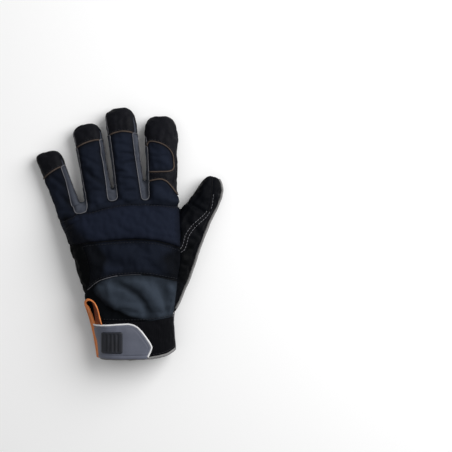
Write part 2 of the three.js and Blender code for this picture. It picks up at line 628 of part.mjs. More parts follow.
function addThumb() {
  const outerSide = (grow) => {
    const points = curve(SEAMS.thumbSeam, THUMB_SEAM_STEPS);
    const far = WIDE / 2;
    return prism([...points, new THREE.Vector2(far, points[points.length - 1].y),
      new THREE.Vector2(far, along(0)), new THREE.Vector2(points[0].x, along(0))], grow);
  };
  const back = backShell.intersect(thumbSide(-HALF_GAP)).subtract(outerSide(HALF_GAP));
  const saddle = backShell.intersect(thumbSide(-HALF_GAP)).intersect(outerSide(-HALF_GAP))
    .intersect(aboveCuff(-HALF_GAP));
  addPiece('thumb_back', back, 'leather');
  addPiece('thumb_saddle', saddle, 'leather');

  const palmSide = palmShell.intersect(beside(SEAMS.thumbPalm, 1, -HALF_GAP))
    .intersect(aboveCuff(-HALF_GAP));
  addPiece('cap_thumb', palmSide.intersect(tipRegion(THUMB_LIMB, THUMB_CAP, -HALF_GAP)), 'leather');
  addPiece('thumb_palm', palmSide.subtract(tipRegion(THUMB_LIMB, THUMB_CAP, HALF_GAP)), 'leather');

  const stations = THUMB_ROWS.slice(0, -1).map((row) => {
    const outer = row.right * THUMB.width + GAP + PIPING_RADIUS;
    const place = limbSpot(THUMB_LIMB, row.along * THUMB.length, outer);
    const height = underside(THUMB_LIMB, row) + row.thick * THUMB.thick * (1 - PRESSED_SHARE) / 2;
    return { place: new THREE.Vector3(place.x, place.y, height), broad: UP };
  });
  const round = Array.from({ length: PIPING_SIDES }, (_, side) => {
    const turn = side / PIPING_SIDES * Math.PI * 2;
    return [Math.sin(turn) * PIPING_RADIUS, Math.cos(turn) * PIPING_RADIUS];
  });
  const piping = sweep(stations, round).subtract(skin(GAP)).intersect(aboveCuff(-HALF_GAP));
  addPiece('thumb_binding', piping, 'binding');
}

function addPalm() {
  const littleWrap = between(SEAMS.padBottom, SEAMS.wristTop, -HALF_GAP)
    .intersect(beside(SEAMS.littleEdge, -1, -HALF_GAP));
  const caps = tipRegion(middle, middle.cap, HALF_GAP).add(tipRegion(index, index.cap, HALF_GAP));
  const flat = palmHalf(-HALF_GAP).intersect(beside(SEAMS.thumbPalm, -1, -HALF_GAP)).subtract(caps);
  const palm = shell.intersect(flat.add(littleWrap)).intersect(aboveCuff(-HALF_GAP));
  addPiece('palm_panel', palm, 'leather');

  const patchShell = skin(PATCH_HEIGHT).subtract(skin(GAP)).intersect(palmHalf(-GAP));
  const patches = { palm_pad_upper: 'palmUpper', palm_pad_heel: 'palmHeel', palm_pad_thumb: 'palmThumb' };
  for (const [name, outline] of Object.entries(patches)) {
    const points = curve([...OUTLINES[outline], OUTLINES[outline][0]], PATCH_STEPS).slice(0, -1);
    addPiece(name, patchShell.intersect(prism(points)), 'leather');
  }
}

function addWrist() {
  const cuff = shell.intersect(between(SEAMS.cuffTop, SEAMS.hem, -HALF_GAP, BINDING_WIDTH));
  addPiece('cuff', cuff, 'cuffCloth');
  const bound = limbSolid(HAND, BINDING_RAISE).subtract(limbSolid(HAND, -WALL - BINDING_RAISE));
  addPiece('cuff_binding', bound.intersect(
    between(SEAMS.hem, SEAMS.hem, -HALF_GAP, 0, BINDING_WIDTH)), 'binding');

  const onCuff = (low, high) => limbSolid(HAND, high).subtract(limbSolid(HAND, low)).subtract(palmHalf(0));
  const corners = OUTLINES.strap.map(spot);
  const point = new THREE.SplineCurve(corners.slice(1, 5)).getPoints(CURVE_STEPS);
  const outline = [corners[0], ...point, ...corners.slice(5)];
  const edge = new THREE.Vector2(STRAP_EDGE_WIDTH, STRAP_EDGE_WIDTH);
  const inset = outline.map((corner) => corner.clone().sub(edge));
  const top = GAP + STRAP_THICK;
  const tab = onCuff(GAP, top).intersect(prism(outline)).intersect(prism(inset, -HALF_GAP));
  addPiece('strap_tab', tab, 'strap');
  const edging = onCuff(GAP, top + STRAP_EDGE_RAISE).intersect(prism(outline))
    .subtract(prism(inset, HALF_GAP));
  addPiece('strap_edging', edging, 'edging');

  const barBox = (halfX, halfY, x) => {
    const middleSpot = spot(GRIP_CENTRE).add(new THREE.Vector2(x, 0));
    const turns = [[-1, -1], [1, -1], [1, 1], [-1, 1]];
    return prism(turns.map(([a, b]) => middleSpot.clone().add(new THREE.Vector2(a * halfX, b * halfY))));
  };
  const halfRow = (GRIP_BAR_COUNT - 1) * GRIP_BAR_PITCH / 2;
  const plateHalf = halfRow + GRIP_BAR_WIDTH / 2 + GRIP_PLATE_MARGIN;
  const plateTop = top + GAP + GRIP_PLATE_THICK;
  let grip = onCuff(top + GAP, plateTop)
    .intersect(barBox(plateHalf, GRIP_BAR_LENGTH / 2 + GRIP_PLATE_MARGIN, 0));
  for (let bar = 0; bar < GRIP_BAR_COUNT; bar += 1) {
    grip = grip.add(onCuff(top + GAP, plateTop + GRIP_BAR_RAISE)
      .intersect(barBox(GRIP_BAR_WIDTH / 2, GRIP_BAR_LENGTH / 2, bar * GRIP_BAR_PITCH - halfRow)));
  }
  addPiece('grip_plate', grip, 'grip');

  const stations = LOOP_PATH.map((row) => {
    const place = spot(row);
    const tilt = THREE.MathUtils.degToRad(row.tilt);
    return {
      place: new THREE.Vector3(place.x, place.y, row.height * HAND_THICK),
      broad: new THREE.Vector3(Math.sin(tilt), 0, Math.cos(tilt)),
    };
  });
  const halfBroad = LOOP_TAPE_WIDTH / 2;
  const halfThin = LOOP_TAPE_THICK / 2;
  const tape = sweep(stations, [
    [-halfBroad, -halfThin], [halfBroad, -halfThin], [halfBroad, halfThin], [-halfBroad, halfThin],
  ]);
  const strapRoom = limbSolid(HAND, top + STRAP_EDGE_RAISE + GAP).intersect(prism(outline, GAP));
  addPiece('pull_loop', tape.subtract(skin(BINDING_RAISE + GAP)).subtract(strapRoom), 'loop');
}

addBack();
addFingerSides();
addThumb();
addPalm();
addWrist();

export default glove;
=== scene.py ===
"""Mechanic's work glove for the left hand, lying palm down, dressed around its CAD frame.

The CAD panels are joined into one skin, which is relaxed and given cloth wrinkles, and is then cut
again where one CAD panel meets the next. Each panel becomes its own closed piece of cloth or leather.
Sizes are in millimetres unless a name says otherwise. Blender itself works in metres.
"""

import json
import math

import bmesh
import bpy
import numpy as np
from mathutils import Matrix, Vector, noise
from mathutils.bvhtree import BVHTree
from mathutils.kdtree import KDTree

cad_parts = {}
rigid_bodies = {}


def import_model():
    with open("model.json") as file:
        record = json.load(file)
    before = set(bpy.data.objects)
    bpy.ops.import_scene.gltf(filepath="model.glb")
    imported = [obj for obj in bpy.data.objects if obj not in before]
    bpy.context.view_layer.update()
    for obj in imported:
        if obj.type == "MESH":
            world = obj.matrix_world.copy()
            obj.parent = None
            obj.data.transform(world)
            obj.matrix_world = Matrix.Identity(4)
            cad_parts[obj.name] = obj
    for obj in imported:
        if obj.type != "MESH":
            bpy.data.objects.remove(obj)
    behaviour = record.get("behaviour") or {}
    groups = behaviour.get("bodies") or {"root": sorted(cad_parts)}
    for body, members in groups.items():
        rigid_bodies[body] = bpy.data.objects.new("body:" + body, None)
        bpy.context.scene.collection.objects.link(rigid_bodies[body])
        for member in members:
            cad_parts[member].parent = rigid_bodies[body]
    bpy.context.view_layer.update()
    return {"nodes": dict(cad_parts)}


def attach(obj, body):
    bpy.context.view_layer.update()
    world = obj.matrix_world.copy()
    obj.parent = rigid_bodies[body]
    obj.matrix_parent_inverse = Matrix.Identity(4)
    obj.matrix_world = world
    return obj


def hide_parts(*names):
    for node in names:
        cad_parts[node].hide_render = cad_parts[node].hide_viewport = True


MM = 0.001

# Skin: how finely it is made, and how it is relaxed
SKIN_VOXEL = 1.0
SEAM_CLOSING = 0.3
CORE_VOXEL = 1.5
CORE_CLOSING = 0.5
CORE_DEPTH = 0.5
SAME_PLACE = 0.002
SMOOTH_ROUNDS = 26
SHRINK_SHARE = 0.52
SWELL_SHARE = 0.54
SEAM_ROUNDS = 12
NEAR_PANEL = 10.0
MOUTH_REACH = 25.0
MOUTH_MARGIN = 0.6
CUT_MARGIN = 0.1

# Cloth simulation, run on a coarser skin
SIM_VOXEL = 1.6
SIM_FRAMES = 18
SIM_MOST_MOVE = 1.6
SIM_FREE = 4.0

# Cloth and leather
WALL = 1.2
SEAM_WIDTH = 1.4
SWELL_WIDTH = 6.0
FLOOR_DIP = -0.05

# Lines along seams and beside them: spacing of their places, smoothing, search limit and shortest lengths
LINE_PITCH = 0.9
SEAM_EASING = 14
ROW_EASING = 6
ROW_SEARCH = 12.0
SHORTEST_SEAM = 6.0
SHORTEST_ROW = 8.0

# Each panel: the finish it takes, how deep its edge is drawn in at a seam, and how far it swells
PANELS = {
    "back_panel": ("back_cloth", 0.75, 0.35),
    "little_back": ("back_cloth", 0.75, 0.35),
    "index_insert": ("back_cloth", 0.80, 0.25),
    "index_wrap": ("leather", 0.45, 0.15),
    "knuckle_pad": ("pad_cloth", 1.10, 1.60),
    "metacarpal_panel": ("back_cloth", 0.75, 0.35),
    "wrist_panel": ("grey_cloth", 0.75, 0.40),
    "fourchette_little_ring": ("side_cloth", 0.55, 0.15),
    "fourchette_ring_middle": ("side_cloth", 0.55, 0.15),
    "fourchette_middle_index": ("side_cloth", 0.55, 0.15),
    "cap_little": ("leather", 0.40, 0.15),
    "cap_ring": ("leather", 0.40, 0.15),
    "cap_middle": ("leather", 0.40, 0.15),
    "cap_thumb": ("leather", 0.40, 0.15),
    "thumb_back": ("leather", 0.50, 0.20),
    "thumb_saddle": ("leather", 0.50, 0.20),
    "thumb_palm": ("leather", 0.50, 0.15),
    "palm_panel": ("leather", 0.50, 0.15),
    "cuff": ("cuff_cloth", 0.45, 0.10),
    "cuff_binding": ("binding", 0.50, 0.15),
}
PANEL_NAMES = list(PANELS)


def points_of(mesh):
    """A mesh's points in millimetres, as rows of x, y, z."""
    flat = np.empty(len(mesh.vertices) * 3)
    mesh.vertices.foreach_get("co", flat)
    return flat.reshape(-1, 3) / MM


def triangles_of(mesh):
    """A mesh's faces as triangles of point numbers."""
    mesh.calc_loop_triangles()
    flat = np.empty(len(mesh.loop_triangles) * 3, np.int32)
    mesh.loop_triangles.foreach_get("vertices", flat)
    return flat.reshape(-1, 3)


def show(name, points, faces):
    """A new smooth-shaded object from points in millimetres."""
    mesh = bpy.data.meshes.new(name)
    mesh.from_pydata((np.asarray(points) * MM).tolist(), [], [list(face) for face in faces])
    mesh.polygons.foreach_set("use_smooth", [True] * len(mesh.polygons))
    mesh.update()
    thing = bpy.data.objects.new(name, mesh)
    bpy.context.scene.collection.objects.link(thing)
    return thing


def unit(rows):
    return rows / np.maximum(np.linalg.norm(rows, axis=-1, keepdims=True), 1e-9)


def edges_of(triangles):
    """The directed edges of triangles: all first ones, then all second and all third ones."""
    return np.vstack([triangles[:, [0, 1]], triangles[:, [1, 2]], triangles[:, [2, 0]]])


def normals_of(points, triangles):
    """Outward direction at each point, weighted by the area of the faces around it."""
    a, b, c = (points[triangles[:, i]] for i in range(3))
    across = np.cross(b - a, c - a)
    total = np.zeros_like(points)
    for corner in range(3):
        for axis in range(3):
            total[:, axis] += np.bincount(triangles[:, corner], across[:, axis], len(points))
    return unit(total)


class Web:
    """Which points of a mesh are joined by its edges, for smoothing anything known at each point."""

    def __init__(self, triangles, count):
        self.edges = np.unique(np.sort(edges_of(triangles), 1), axis=0)
        both = np.vstack([self.edges, self.edges[:, ::-1]])
        both = both[np.argsort(both[:, 0], kind="stable")]
        self.others = both[:, 1]
        self.degree = np.bincount(both[:, 0], minlength=count)
        self.starts = np.concatenate([[0], np.cumsum(self.degree)[:-1]])

    def mean(self, values):
        """The average of each point's neighbours."""
        total = np.add.reduceat(values[self.others], self.starts, axis=0)
        shape = (-1,) + (1,) * (values.ndim - 1)
        return total / self.degree.reshape(shape)

    def smoothed(self, values, rounds, share=0.5):
        """Values drawn a share of the way to their neighbours' average, round by round."""
        for _ in range(rounds):
            values = values + share * (self.mean(values) - values)
        return values


def relaxed(points, web, rounds):
    """Points with facets smoothed away but volume kept: each round shrinks, then swells again."""
    for _ in range(rounds):
        points = points + SHRINK_SHARE * (web.mean(points) - points)
        points = points - SWELL_SHARE * (web.mean(points) - points)
    return points


def merged(points, triangles):
    """The same triangles, with points that share a place made one."""
    keys = np.round(points / SAME_PLACE).astype(np.int64)
    _, first, number = np.unique(keys, axis=0, return_index=True, return_inverse=True)
    faces = number.reshape(-1)[triangles]
    whole = (faces[:, 0] != faces[:, 1]) & (faces[:, 1] != faces[:, 2]) & (faces[:, 2] != faces[:, 0])
    return points[first], faces[whole]


def used_only(points, faces):
    """Points that some face uses, the faces with their new numbers, and which points were kept."""
    kept = np.unique(faces)
    number = np.zeros(len(points), int)
    number[kept] = np.arange(len(kept))
    return points[kept], number[faces], kept


def largest_shell(points, triangles):
    """The connected part of a mesh that reaches furthest."""
    web = Web(triangles, len(points))
    mark, before = np.arange(len(points)), None
    while before is None or (mark != before).any():
        before = mark.copy()
        np.minimum.at(mark, web.edges[:, 0], before[web.edges[:, 1]])
        np.minimum.at(mark, web.edges[:, 1], before[web.edges[:, 0]])
        mark = mark[mark]
    reach = {m: np.ptp(points[mark == m], axis=0).sum() for m in np.unique(mark)}
    keep = mark == max(reach, key=reach.get)
    points, triangles, _ = used_only(points, triangles[keep[triangles[:, 0]]])
    return points, triangles


def remeshed(points, faces, voxel):
    """A closed mesh around everything given, made of small even squares."""
    thing = show("remesh", points, faces)
    modifier = thing.modifiers.new("even", "REMESH")
    modifier.mode = "VOXEL"
    modifier.voxel_size = voxel * MM
    graph = bpy.context.evaluated_depsgraph_get()
    mesh = bpy.data.meshes.new_from_object(thing.evaluated_get(graph))
    bpy.data.objects.remove(thing)
    return points_of(mesh), triangles_of(mesh)


def hull_of(points):
    """Points and triangles of the tightest convex form around some points."""
    shape = bmesh.new()
    for point in points:
        shape.verts.new(point)
    bmesh.ops.convex_hull(shape, input=shape.verts)
    bmesh.ops.triangulate(shape, faces=shape.faces)
    shape.verts.index_update()
    corners = np.array([tuple(v.co) for v in shape.verts])
    faces = np.array([[v.index for v in f.verts] for f in shape.faces])
    shape.free()
    return corners, faces


def cad_solid(node):
    """A CAD node's points and triangles, joined where the glTF file splits them."""
    mesh = frame["nodes"][node].data
    return merged(points_of(mesh), triangles_of(mesh))


def joined(parts):
    """Several meshes' points and faces as one."""
    faces, count = [], 0
    for points, own in parts:
        faces += [[p + count for p in face] for face in own]
        count += len(points)
    return np.vstack([points for points, _ in parts]), faces


def grown(points, faces, distance):
    return points + distance * normals_of(points, faces), faces


def rough_skin():
    """The glove's outside as one closed mesh, made of the CAD panels with the wrist plugged.

    The panels' small gaps are closed twice: coarsely, for a core that fills the hollow, and then finely.
    """
    panels = [cad_solid(node) for node in PANELS]
    plug = hull_of(cad_solid("cuff_binding")[0])
    shell = [grown(*panel, CORE_CLOSING) for panel in panels]
    core = largest_shell(*remeshed(*joined(shell + [plug]), CORE_VOXEL))
    core = grown(*core, -CORE_CLOSING - CORE_DEPTH)
    shell = [grown(*panel, SEAM_CLOSING) for panel in panels]
    points, faces = largest_shell(*remeshed(*joined(shell + [core, plug]), SKIN_VOXEL))
    points = relaxed(points, Web(faces, len(points)), SMOOTH_ROUNDS)
    return grown(points, faces, -SEAM_CLOSING)


def tree_of(node):
    corners, faces = cad_solid(node)
    return BVHTree.FromPolygons(corners.tolist(), faces.tolist())


def reach_to(node, points, limit):
    """Distance from each point to a CAD node, up to a limit."""
    tree = tree_of(node)
    found = [tree.find_nearest(point, limit) for point in points.tolist()]
    return np.array([limit if hit[0] is None else hit[3] for hit in found])


def reach_to_panels(points, normals):
    """One column of distances per CAD panel, and one that is low where the wrist's plug is."""
    columns = [reach_to(node, points, NEAR_PANEL) for node in PANELS]
    wrist_end = (normals[:, 1] < -0.5) & (points[:, 1] < points[:, 1].min() + MOUTH_REACH)
    columns.append(np.where(wrist_end, MOUTH_MARGIN, NEAR_PANEL))
    return np.array(columns).T


def cut_where(points, triangles, fields):
    """Cuts triangles along the lines where another field becomes the lowest one.

    Returns all points, all triangles, and the number of the field that each triangle belongs to.
    """
    owner = fields.argmin(1)
    edges = np.unique(np.sort(edges_of(triangles), 1), axis=0)
    edges = edges[owner[edges[:, 0]] != owner[edges[:, 1]]]
    i, j = edges.T
    a, b = owner[i], owner[j]
    lead_i = fields[i, b] - fields[i, a]
    lead_j = fields[j, a] - fields[j, b]
    share = np.clip(lead_i / np.maximum(lead_i + lead_j, 1e-9), CUT_MARGIN, 1 - CUT_MARGIN)[:, None]
    new_points = points[i] * (1 - share) + points[j] * share
    count = len(points)
    number = {(int(p), int(q)): count + k for k, (p, q) in enumerate(edges)}

    def middle(p, q):
        return number[(p, q) if p < q else (q, p)]

    own = owner[triangles]
    plain = (own[:, 0] == own[:, 1]) & (own[:, 1] == own[:, 2])
    faces, marks, centres = [], [], []
    for tri, labels in zip(triangles[~plain].tolist(), own[~plain].tolist()):
        if len(set(labels)) == 3:
            mids = [middle(tri[0], tri[1]), middle(tri[1], tri[2]), middle(tri[2], tri[0])]
            centre = count + len(edges) + len(centres)
            centres.append(mids)
            for k in range(3):
                faces += [[tri[k], mids[k], centre], [tri[k], centre, mids[k - 1]]]
                marks += [labels[k]] * 2
            continue
        odd = [k for k in range(3) if labels.count(labels[k]) == 1][0]
        u, v, w = tri[odd], tri[(odd + 1) % 3], tri[(odd + 2) % 3]
        uv, wu = middle(u, v), middle(w, u)
        faces += [[u, uv, wu], [uv, v, w], [uv, w, wu]]
        marks += [labels[odd], labels[(odd + 1) % 3], labels[(odd + 1) % 3]]
    parts = [points, new_points]
    if centres:
        parts.append(new_points[np.array(centres) - count].mean(1))
    all_points = np.vstack(parts)
    all_faces = np.vstack([triangles[plain], np.array(faces, int).reshape(-1, 3)])
    return all_points, all_faces, np.concatenate([own[plain][:, 0], np.array(marks, int)])


def rim_of(faces):
    """The directed edges that only one triangle uses."""
    ends = edges_of(faces).astype(np.int64)
    size = ends.max() + 1
    return ends[~np.isin(ends[:, 0] * size + ends[:, 1], ends[:, 1] * size + ends[:, 0])]


def tree_at(places):
    """A search tree over some places."""
    tree = KDTree(len(places))
    for index, place in enumerate(places.tolist()):
        tree.insert(place, index)
    tree.balance()
    return tree


def distance_to(places, points, limit=40.0):
    """How far each point is from the nearest of some places."""
    tree = tree_at(places)
    return np.array([min(tree.find(point)[2], limit) for point in points.tolist()])


def note_points(thing, name, values):
    """Stores a value for each point of a piece, which its material reads."""
    store = thing.data.attributes.new(name, "FLOAT", "POINT")
    values = np.resize(np.asarray(values, np.float32), len(thing.data.vertices))
    store.data.foreach_set("value", values)


class Panel:
    """A part of a surface, with the distance of each of its points from its rim as its inset."""

    def __init__(self, points, faces, normals):
        self.points, self.faces, kept = used_only(points, faces)
        self.normals = normals[kept]
        self.inset = distance_to(self.points[np.unique(rim_of(self.faces))], self.points)
        self.outer = self.points

    def rise(self, lift):
        """Sets the panel's outside a lift over its points, and nowhere under the floor."""
        self.outer = self.points + self.normals * lift[:, None]
        self.outer[:, 2] = np.maximum(self.outer[:, 2], 0.0)

    def closed(self, name, inner):
        """A closed piece between the panel's outside and an inner side, with its inset noted."""
        count = len(inner)
        walls = [[b, a, a + count, b + count] for a, b in rim_of(self.faces).tolist()]
        faces = self.faces.tolist() + (self.faces[:, ::-1] + count).tolist() + walls
        thing = show(name, np.vstack([self.outer, inner]), faces)
        note_points(thing, "inset", self.inset)
        return thing

    def beside(self, seams, gap):
        """Lines on the panel's outside that run beside some seams."""
        away = distance_to(np.vstack([seam.places for seam in seams]), self.points, ROW_SEARCH)
        found = level_lines(self.outer, self.normals, self.faces, away, gap)
        return [line.eased(ROW_EASING) for line in found if line.length() > SHORTEST_ROW]


def finer(points, faces):
    """Each triangle as four."""
    edges, number = np.unique(np.sort(edges_of(faces), 1), axis=0, return_inverse=True)
    a, b, c = faces.T
    ab, bc, ca = (number.reshape(-1) + len(points)).reshape(3, -1)
    smaller = [np.stack(t, 1) for t in ((a, ab, ca), (ab, b, bc), (ca, bc, c), (ab, bc, ca))]
    return np.vstack([points, points[edges].mean(1)]), np.vstack(smaller)


def chains_of(links):
    """Ordered runs of point numbers from unordered pairs. A run that closes ends where it began."""
    near = {}
    for a, b in links:
        near.setdefault(a, []).append(b)
        near.setdefault(b, []).append(a)
    used, chains = set(), []
    starts = [p for p in sorted(near) if len(near[p]) != 2] + sorted(near)
    for start in starts:
        for first in near[start]:
            if (min(start, first), max(start, first)) in used:
                continue
            chain, here = [start, first], first
            used.add((min(start, first), max(start, first)))
            while len(near[here]) == 2 and here != start:
                step = near[here][0] if near[here][0] != chain[-2] else near[here][1]
                key = (min(here, step), max(here, step))
                if key in used:
                    break
                used.add(key)
                chain.append(step)
                here = step
            chains.append(chain)
    return chains


class Line:
    """A line on the glove: places along it and the outward direction at each."""

    def __init__(self, places, normals, closed=False):
        self.places = np.asarray(places, float)
        self.normals = unit(np.asarray(normals, float))
        self.closed = closed

    def run(self):
        """How far along the line each place is."""
        return np.concatenate([[0], np.cumsum(np.linalg.norm(np.diff(self.places, axis=0), axis=1))])

    def length(self):
        return self.run()[-1]

    def eased(self, rounds):
        """The same line with its small zigzags smoothed, its ends kept."""
        places, normals = self.places.copy(), self.normals.copy()
        for _ in range(rounds):
            for rows in (places, normals):
                if self.closed:
                    ring = rows[:-1]
                    ring = ring + 0.5 * ((np.roll(ring, 1, 0) + np.roll(ring, -1, 0)) / 2 - ring)
                    rows[:] = np.vstack([ring, ring[:1]])
                else:
                    rows[1:-1] += 0.5 * ((rows[:-2] + rows[2:]) / 2 - rows[1:-1])
        return Line(places, normals, self.closed)

    def even(self, pitch):
        """The same line with places at a regular spacing."""
        run = self.run()
        at = np.linspace(0, run[-1], max(2, int(round(run[-1] / pitch)) + 1))
        columns = np.hstack([self.places, self.normals]).T
        rows = np.stack([np.interp(at, run, column) for column in columns], 1)
        return Line(rows[:, :3], rows[:, 3:], self.closed)

    def part(self, wanted):
        """The longest unbroken run of places that are wanted."""
        best, start = (0, 0), None
        for index, flag in enumerate([bool(wanted(p)) for p in self.places] + [False]):
            if flag and start is None:
                start = index
            if not flag and start is not None:
                best = max(best, (index - start, start))
                start = None
        size, start = best
        whole = size == len(self.places)
        return Line(self.places[start:start + size], self.normals[start:start + size], self.closed and whole)

    def ahead(self):
        """Direction of travel at each place."""
        if self.closed:
            ring = self.places[:-1]
            way = np.roll(ring, -1, 0) - np.roll(ring, 1, 0)
            return unit(np.vstack([way, way[:1]]))
        return unit(np.gradient(self.places, axis=0))


def level_lines(points, normals, faces, values, level):
    """Lines on a surface where a value known at each point passes a level."""
    above = values > level
    links, ends = [], {}
    mixed = faces[(above[faces].sum(1) % 3) != 0]
    for tri in mixed.tolist():
        found = []
        for k in range(3):
            a, b = sorted((tri[k], tri[(k + 1) % 3]))
            if above[a] != above[b]:
                found.append(ends.setdefault((a, b), len(ends)))
        links.append(found)
    if not links:
        return []
    a, b = np.array(list(ends)).T
    share = ((level - values[a]) / (values[b] - values[a]))[:, None]
    places = points[a] * (1 - share) + points[b] * share
    ways = normals[a] * (1 - share) + normals[b] * share
    return [Line(places[c], ways[c], c[0] == c[-1]) for c in chains_of(links) if len(c) > 4]


def off_floor(points, corners):
    """Rings of points, each raised where it would sink into the floor."""
    rings = np.array(points, float).reshape(-1, corners, 3)
    rings[:, :, 2] += np.clip(FLOOR_DIP - rings[:, :, 2].min(1), 0, None)[:, None]
    return rings.reshape(-1, 3)


def tube_faces(rings, corners, closed=False):
    """Faces of a tube from rings of points. Its ends are flat, unless it closes on itself."""
    faces = []
    for i in range(rings if closed else rings - 1):
        j = (i + 1) % rings
        for k in range(corners):
            m = (k + 1) % corners
            faces.append([i * corners + k, i * corners + m, j * corners + m, j * corners + k])
    if not closed:
        faces += [list(range(corners))[::-1], list(range((rings - 1) * corners, rings * corners))]
    return faces


# Size of a cord or tape at its very end, as a share of its full size
END_SIZE = 0.3


def swept(name, lines, profile, sizes=None):
    """Closed tubes: a profile carried along each line. The profile's corners are (sideways, up)."""
    parts = []
    for number, line in enumerate(lines):
        ahead = line.ahead()
        side = unit(np.cross(ahead, line.normals))
        up = unit(np.cross(side, ahead))
        count = len(line.places) - (1 if line.closed else 0)
        size = np.ones(count) if sizes is None else sizes[number]
        if not line.closed:
            run = line.run()
            from_end = np.minimum(run, run[-1] - run) / max(abs(x) for x, _ in profile)
            rounding = np.sqrt(1 - (1 - np.clip(from_end, 0, 1)) ** 2)
            size = size * (END_SIZE + (1 - END_SIZE) * rounding)
        rings = []
        for i in range(count):
            rings += [line.places[i] + (side[i] * x + up[i] * y) * size[i] for x, y in profile]
        parts.append((off_floor(rings, len(profile)), tube_faces(count, len(profile), line.closed)))
    return show(name, *joined(parts))


def round_profile(radius, lift=0.0, sides=8):
    """Corners of a round cord's profile, its middle lifted off the cloth."""
    turns = [2 * math.pi * k / sides for k in range(sides)]
    return [(radius * math.cos(t), lift + radius * math.sin(t)) for t in turns]


# One stitch: how its thread arches out of the cloth and back, as shares of its length and of its rise
STITCH_ARCH = ((0.0, -0.8), (0.12, 0.35), (0.5, 1.0), (0.88, 0.35), (1.0, -0.8))
STITCH_PITCH = 3.0
STITCH_LENGTH = 2.2
STITCH_RISE = 0.34
THREAD_RADIUS = 0.27
THREAD_SIDES = 6


def stitches(name, lines):
    """A row of separate thread loops along each line, as one object."""
    thread = round_profile(THREAD_RADIUS, 0.0, THREAD_SIDES)
    faces = tube_faces(len(STITCH_ARCH), THREAD_SIDES)
    parts = []
    for row in [line.even(STITCH_PITCH) for line in lines]:
        ahead, up = row.ahead(), row.normals
        side = unit(np.cross(ahead, up))
        for i in range(len(row.places) - 1):
            rings = []
            for share, rise in STITCH_ARCH:
                centre = row.places[i] + ahead[i] * share * STITCH_LENGTH + up[i] * rise * STITCH_RISE
                rings += [centre + x * side[i] + y * up[i] for x, y in thread]
            parts.append((off_floor(rings, THREAD_SIDES), faces))
    return show(name, *joined(parts))


def along(path, places):
    """Distance from each place to a path across the glove, and how far along the path it is, 0 to 1."""
    path = np.array(path, float)
    nearest, share, run = np.full(len(places), np.inf), np.zeros(len(places)), 0.0
    steps = np.diff(path, axis=0)
    sizes = np.linalg.norm(steps, axis=1)
    for start, step, size in zip(path, steps, sizes):
        part = np.clip((places - start) @ step / size**2, 0, 1)
        away = np.linalg.norm(places - start - part[:, None] * step, axis=1)
        share = np.where(away < nearest, (run + part * size) / sizes.sum(), share)
        nearest = np.minimum(nearest, away)
        run += size
    return nearest, share


# Folds that the cloth lies in: path across the back in mm, half width, height (below zero is a furrow)
FOLDS = (
    (((-17, -19), (-7, -23), (3.7, -30), (10, -38), (14.1, -44), (18, -53)), 4.4, -2.1),
    (((28.5, -20), (30.5, -32), (31.0, -48)), 5.0, -1.3),
    (((-2, -16), (10, -22), (20, -34), (25, -50)), 5.0, 1.3),
    (((-14, -28), (-6, -36), (2, -46)), 7.0, 1.3),
    (((-42, -24), (-33, -36), (-21, -48), (-6, -54), (8, -56)), 6.0, -2.6),
    (((-36, 12), (-22, 1), (-8, -2)), 5.0, -0.8),
    (((38, 8), (26, 2), (18, -6)), 4.5, -0.7),
    (((-33, 107), (-30, 103), (-28.4, 98)), 1.9, -1.0),
    (((-47, 89), (-40, 82.5), (-32, 77)), 2.4, -1.3),
    (((-44, 95), (-38, 91), (-34, 90)), 2.2, 0.8),
    (((-48, 66), (-40, 70), (-33, 71)), 2.2, -0.7),
    (((-14.4, 105.4), (-6, 106), (1.3, 104.7)), 1.3, -0.9),
    (((-15, 95.4), (-7, 97.5), (0.6, 99.1)), 1.4, -1.1),
    (((-18, 88.3), (-13.6, 88.5), (-8, 87.4)), 1.4, -1.1),
    (((-12, 80), (-4, 81.5), (2, 80)), 1.3, -0.8),
    (((-12, 69), (-7, 70), (-1, 70.8)), 1.4, -1.0),
    (((-10.5, 57.8), (-3.9, 57.8)), 1.4, -0.6),
    (((14, 104), (22, 102.5), (31, 104)), 1.3, -0.4),
    (((-80, 84), (-73, 77), (-66, 74)), 2.0, -0.8),
    (((-72, 66), (-66, 60), (-60, 57)), 2.4, -0.8),
    (((50, 40), (58, 34), (64, 26)), 2.4, -0.7),
    (((55, 56), (63, 51), (70, 47)), 2.0, -0.6),
    (((-66, 33), (-60, 36.5), (-52, 40.5)), 1.9, -0.9),
)

# Rounded lower end of each grey side strip between two fingers: its centre and radius in mm
WEB_ENDS = (
    ("fourchette_little_ring", (-51.5, 54.0), 6.0),
    ("fourchette_ring_middle", (-21.2, 64.8), 4.9),
    ("fourchette_middle_index", (10.3, 64.8), 4.0),
)
WEB_END_STEEPNESS = 1.6

# Corners of the outline that the cloth is drawn out to: place and reach in mm, and the move in mm
DRAWN_OUT = (
    ((-93, 101), 6.5, (-2.6, 1.6, 0.0)),
    ((-59, 126), 6.0, (-1.6, 0.6, 0.0)),
    ((-28, 143), 6.0, (-1.3, 0.8, 0.0)),
    ((42, 118), 13.0, (1.2, 0.0, 0.0)),
    ((42, 94), 13.0, (1.2, 0.0, 0.0)),
)

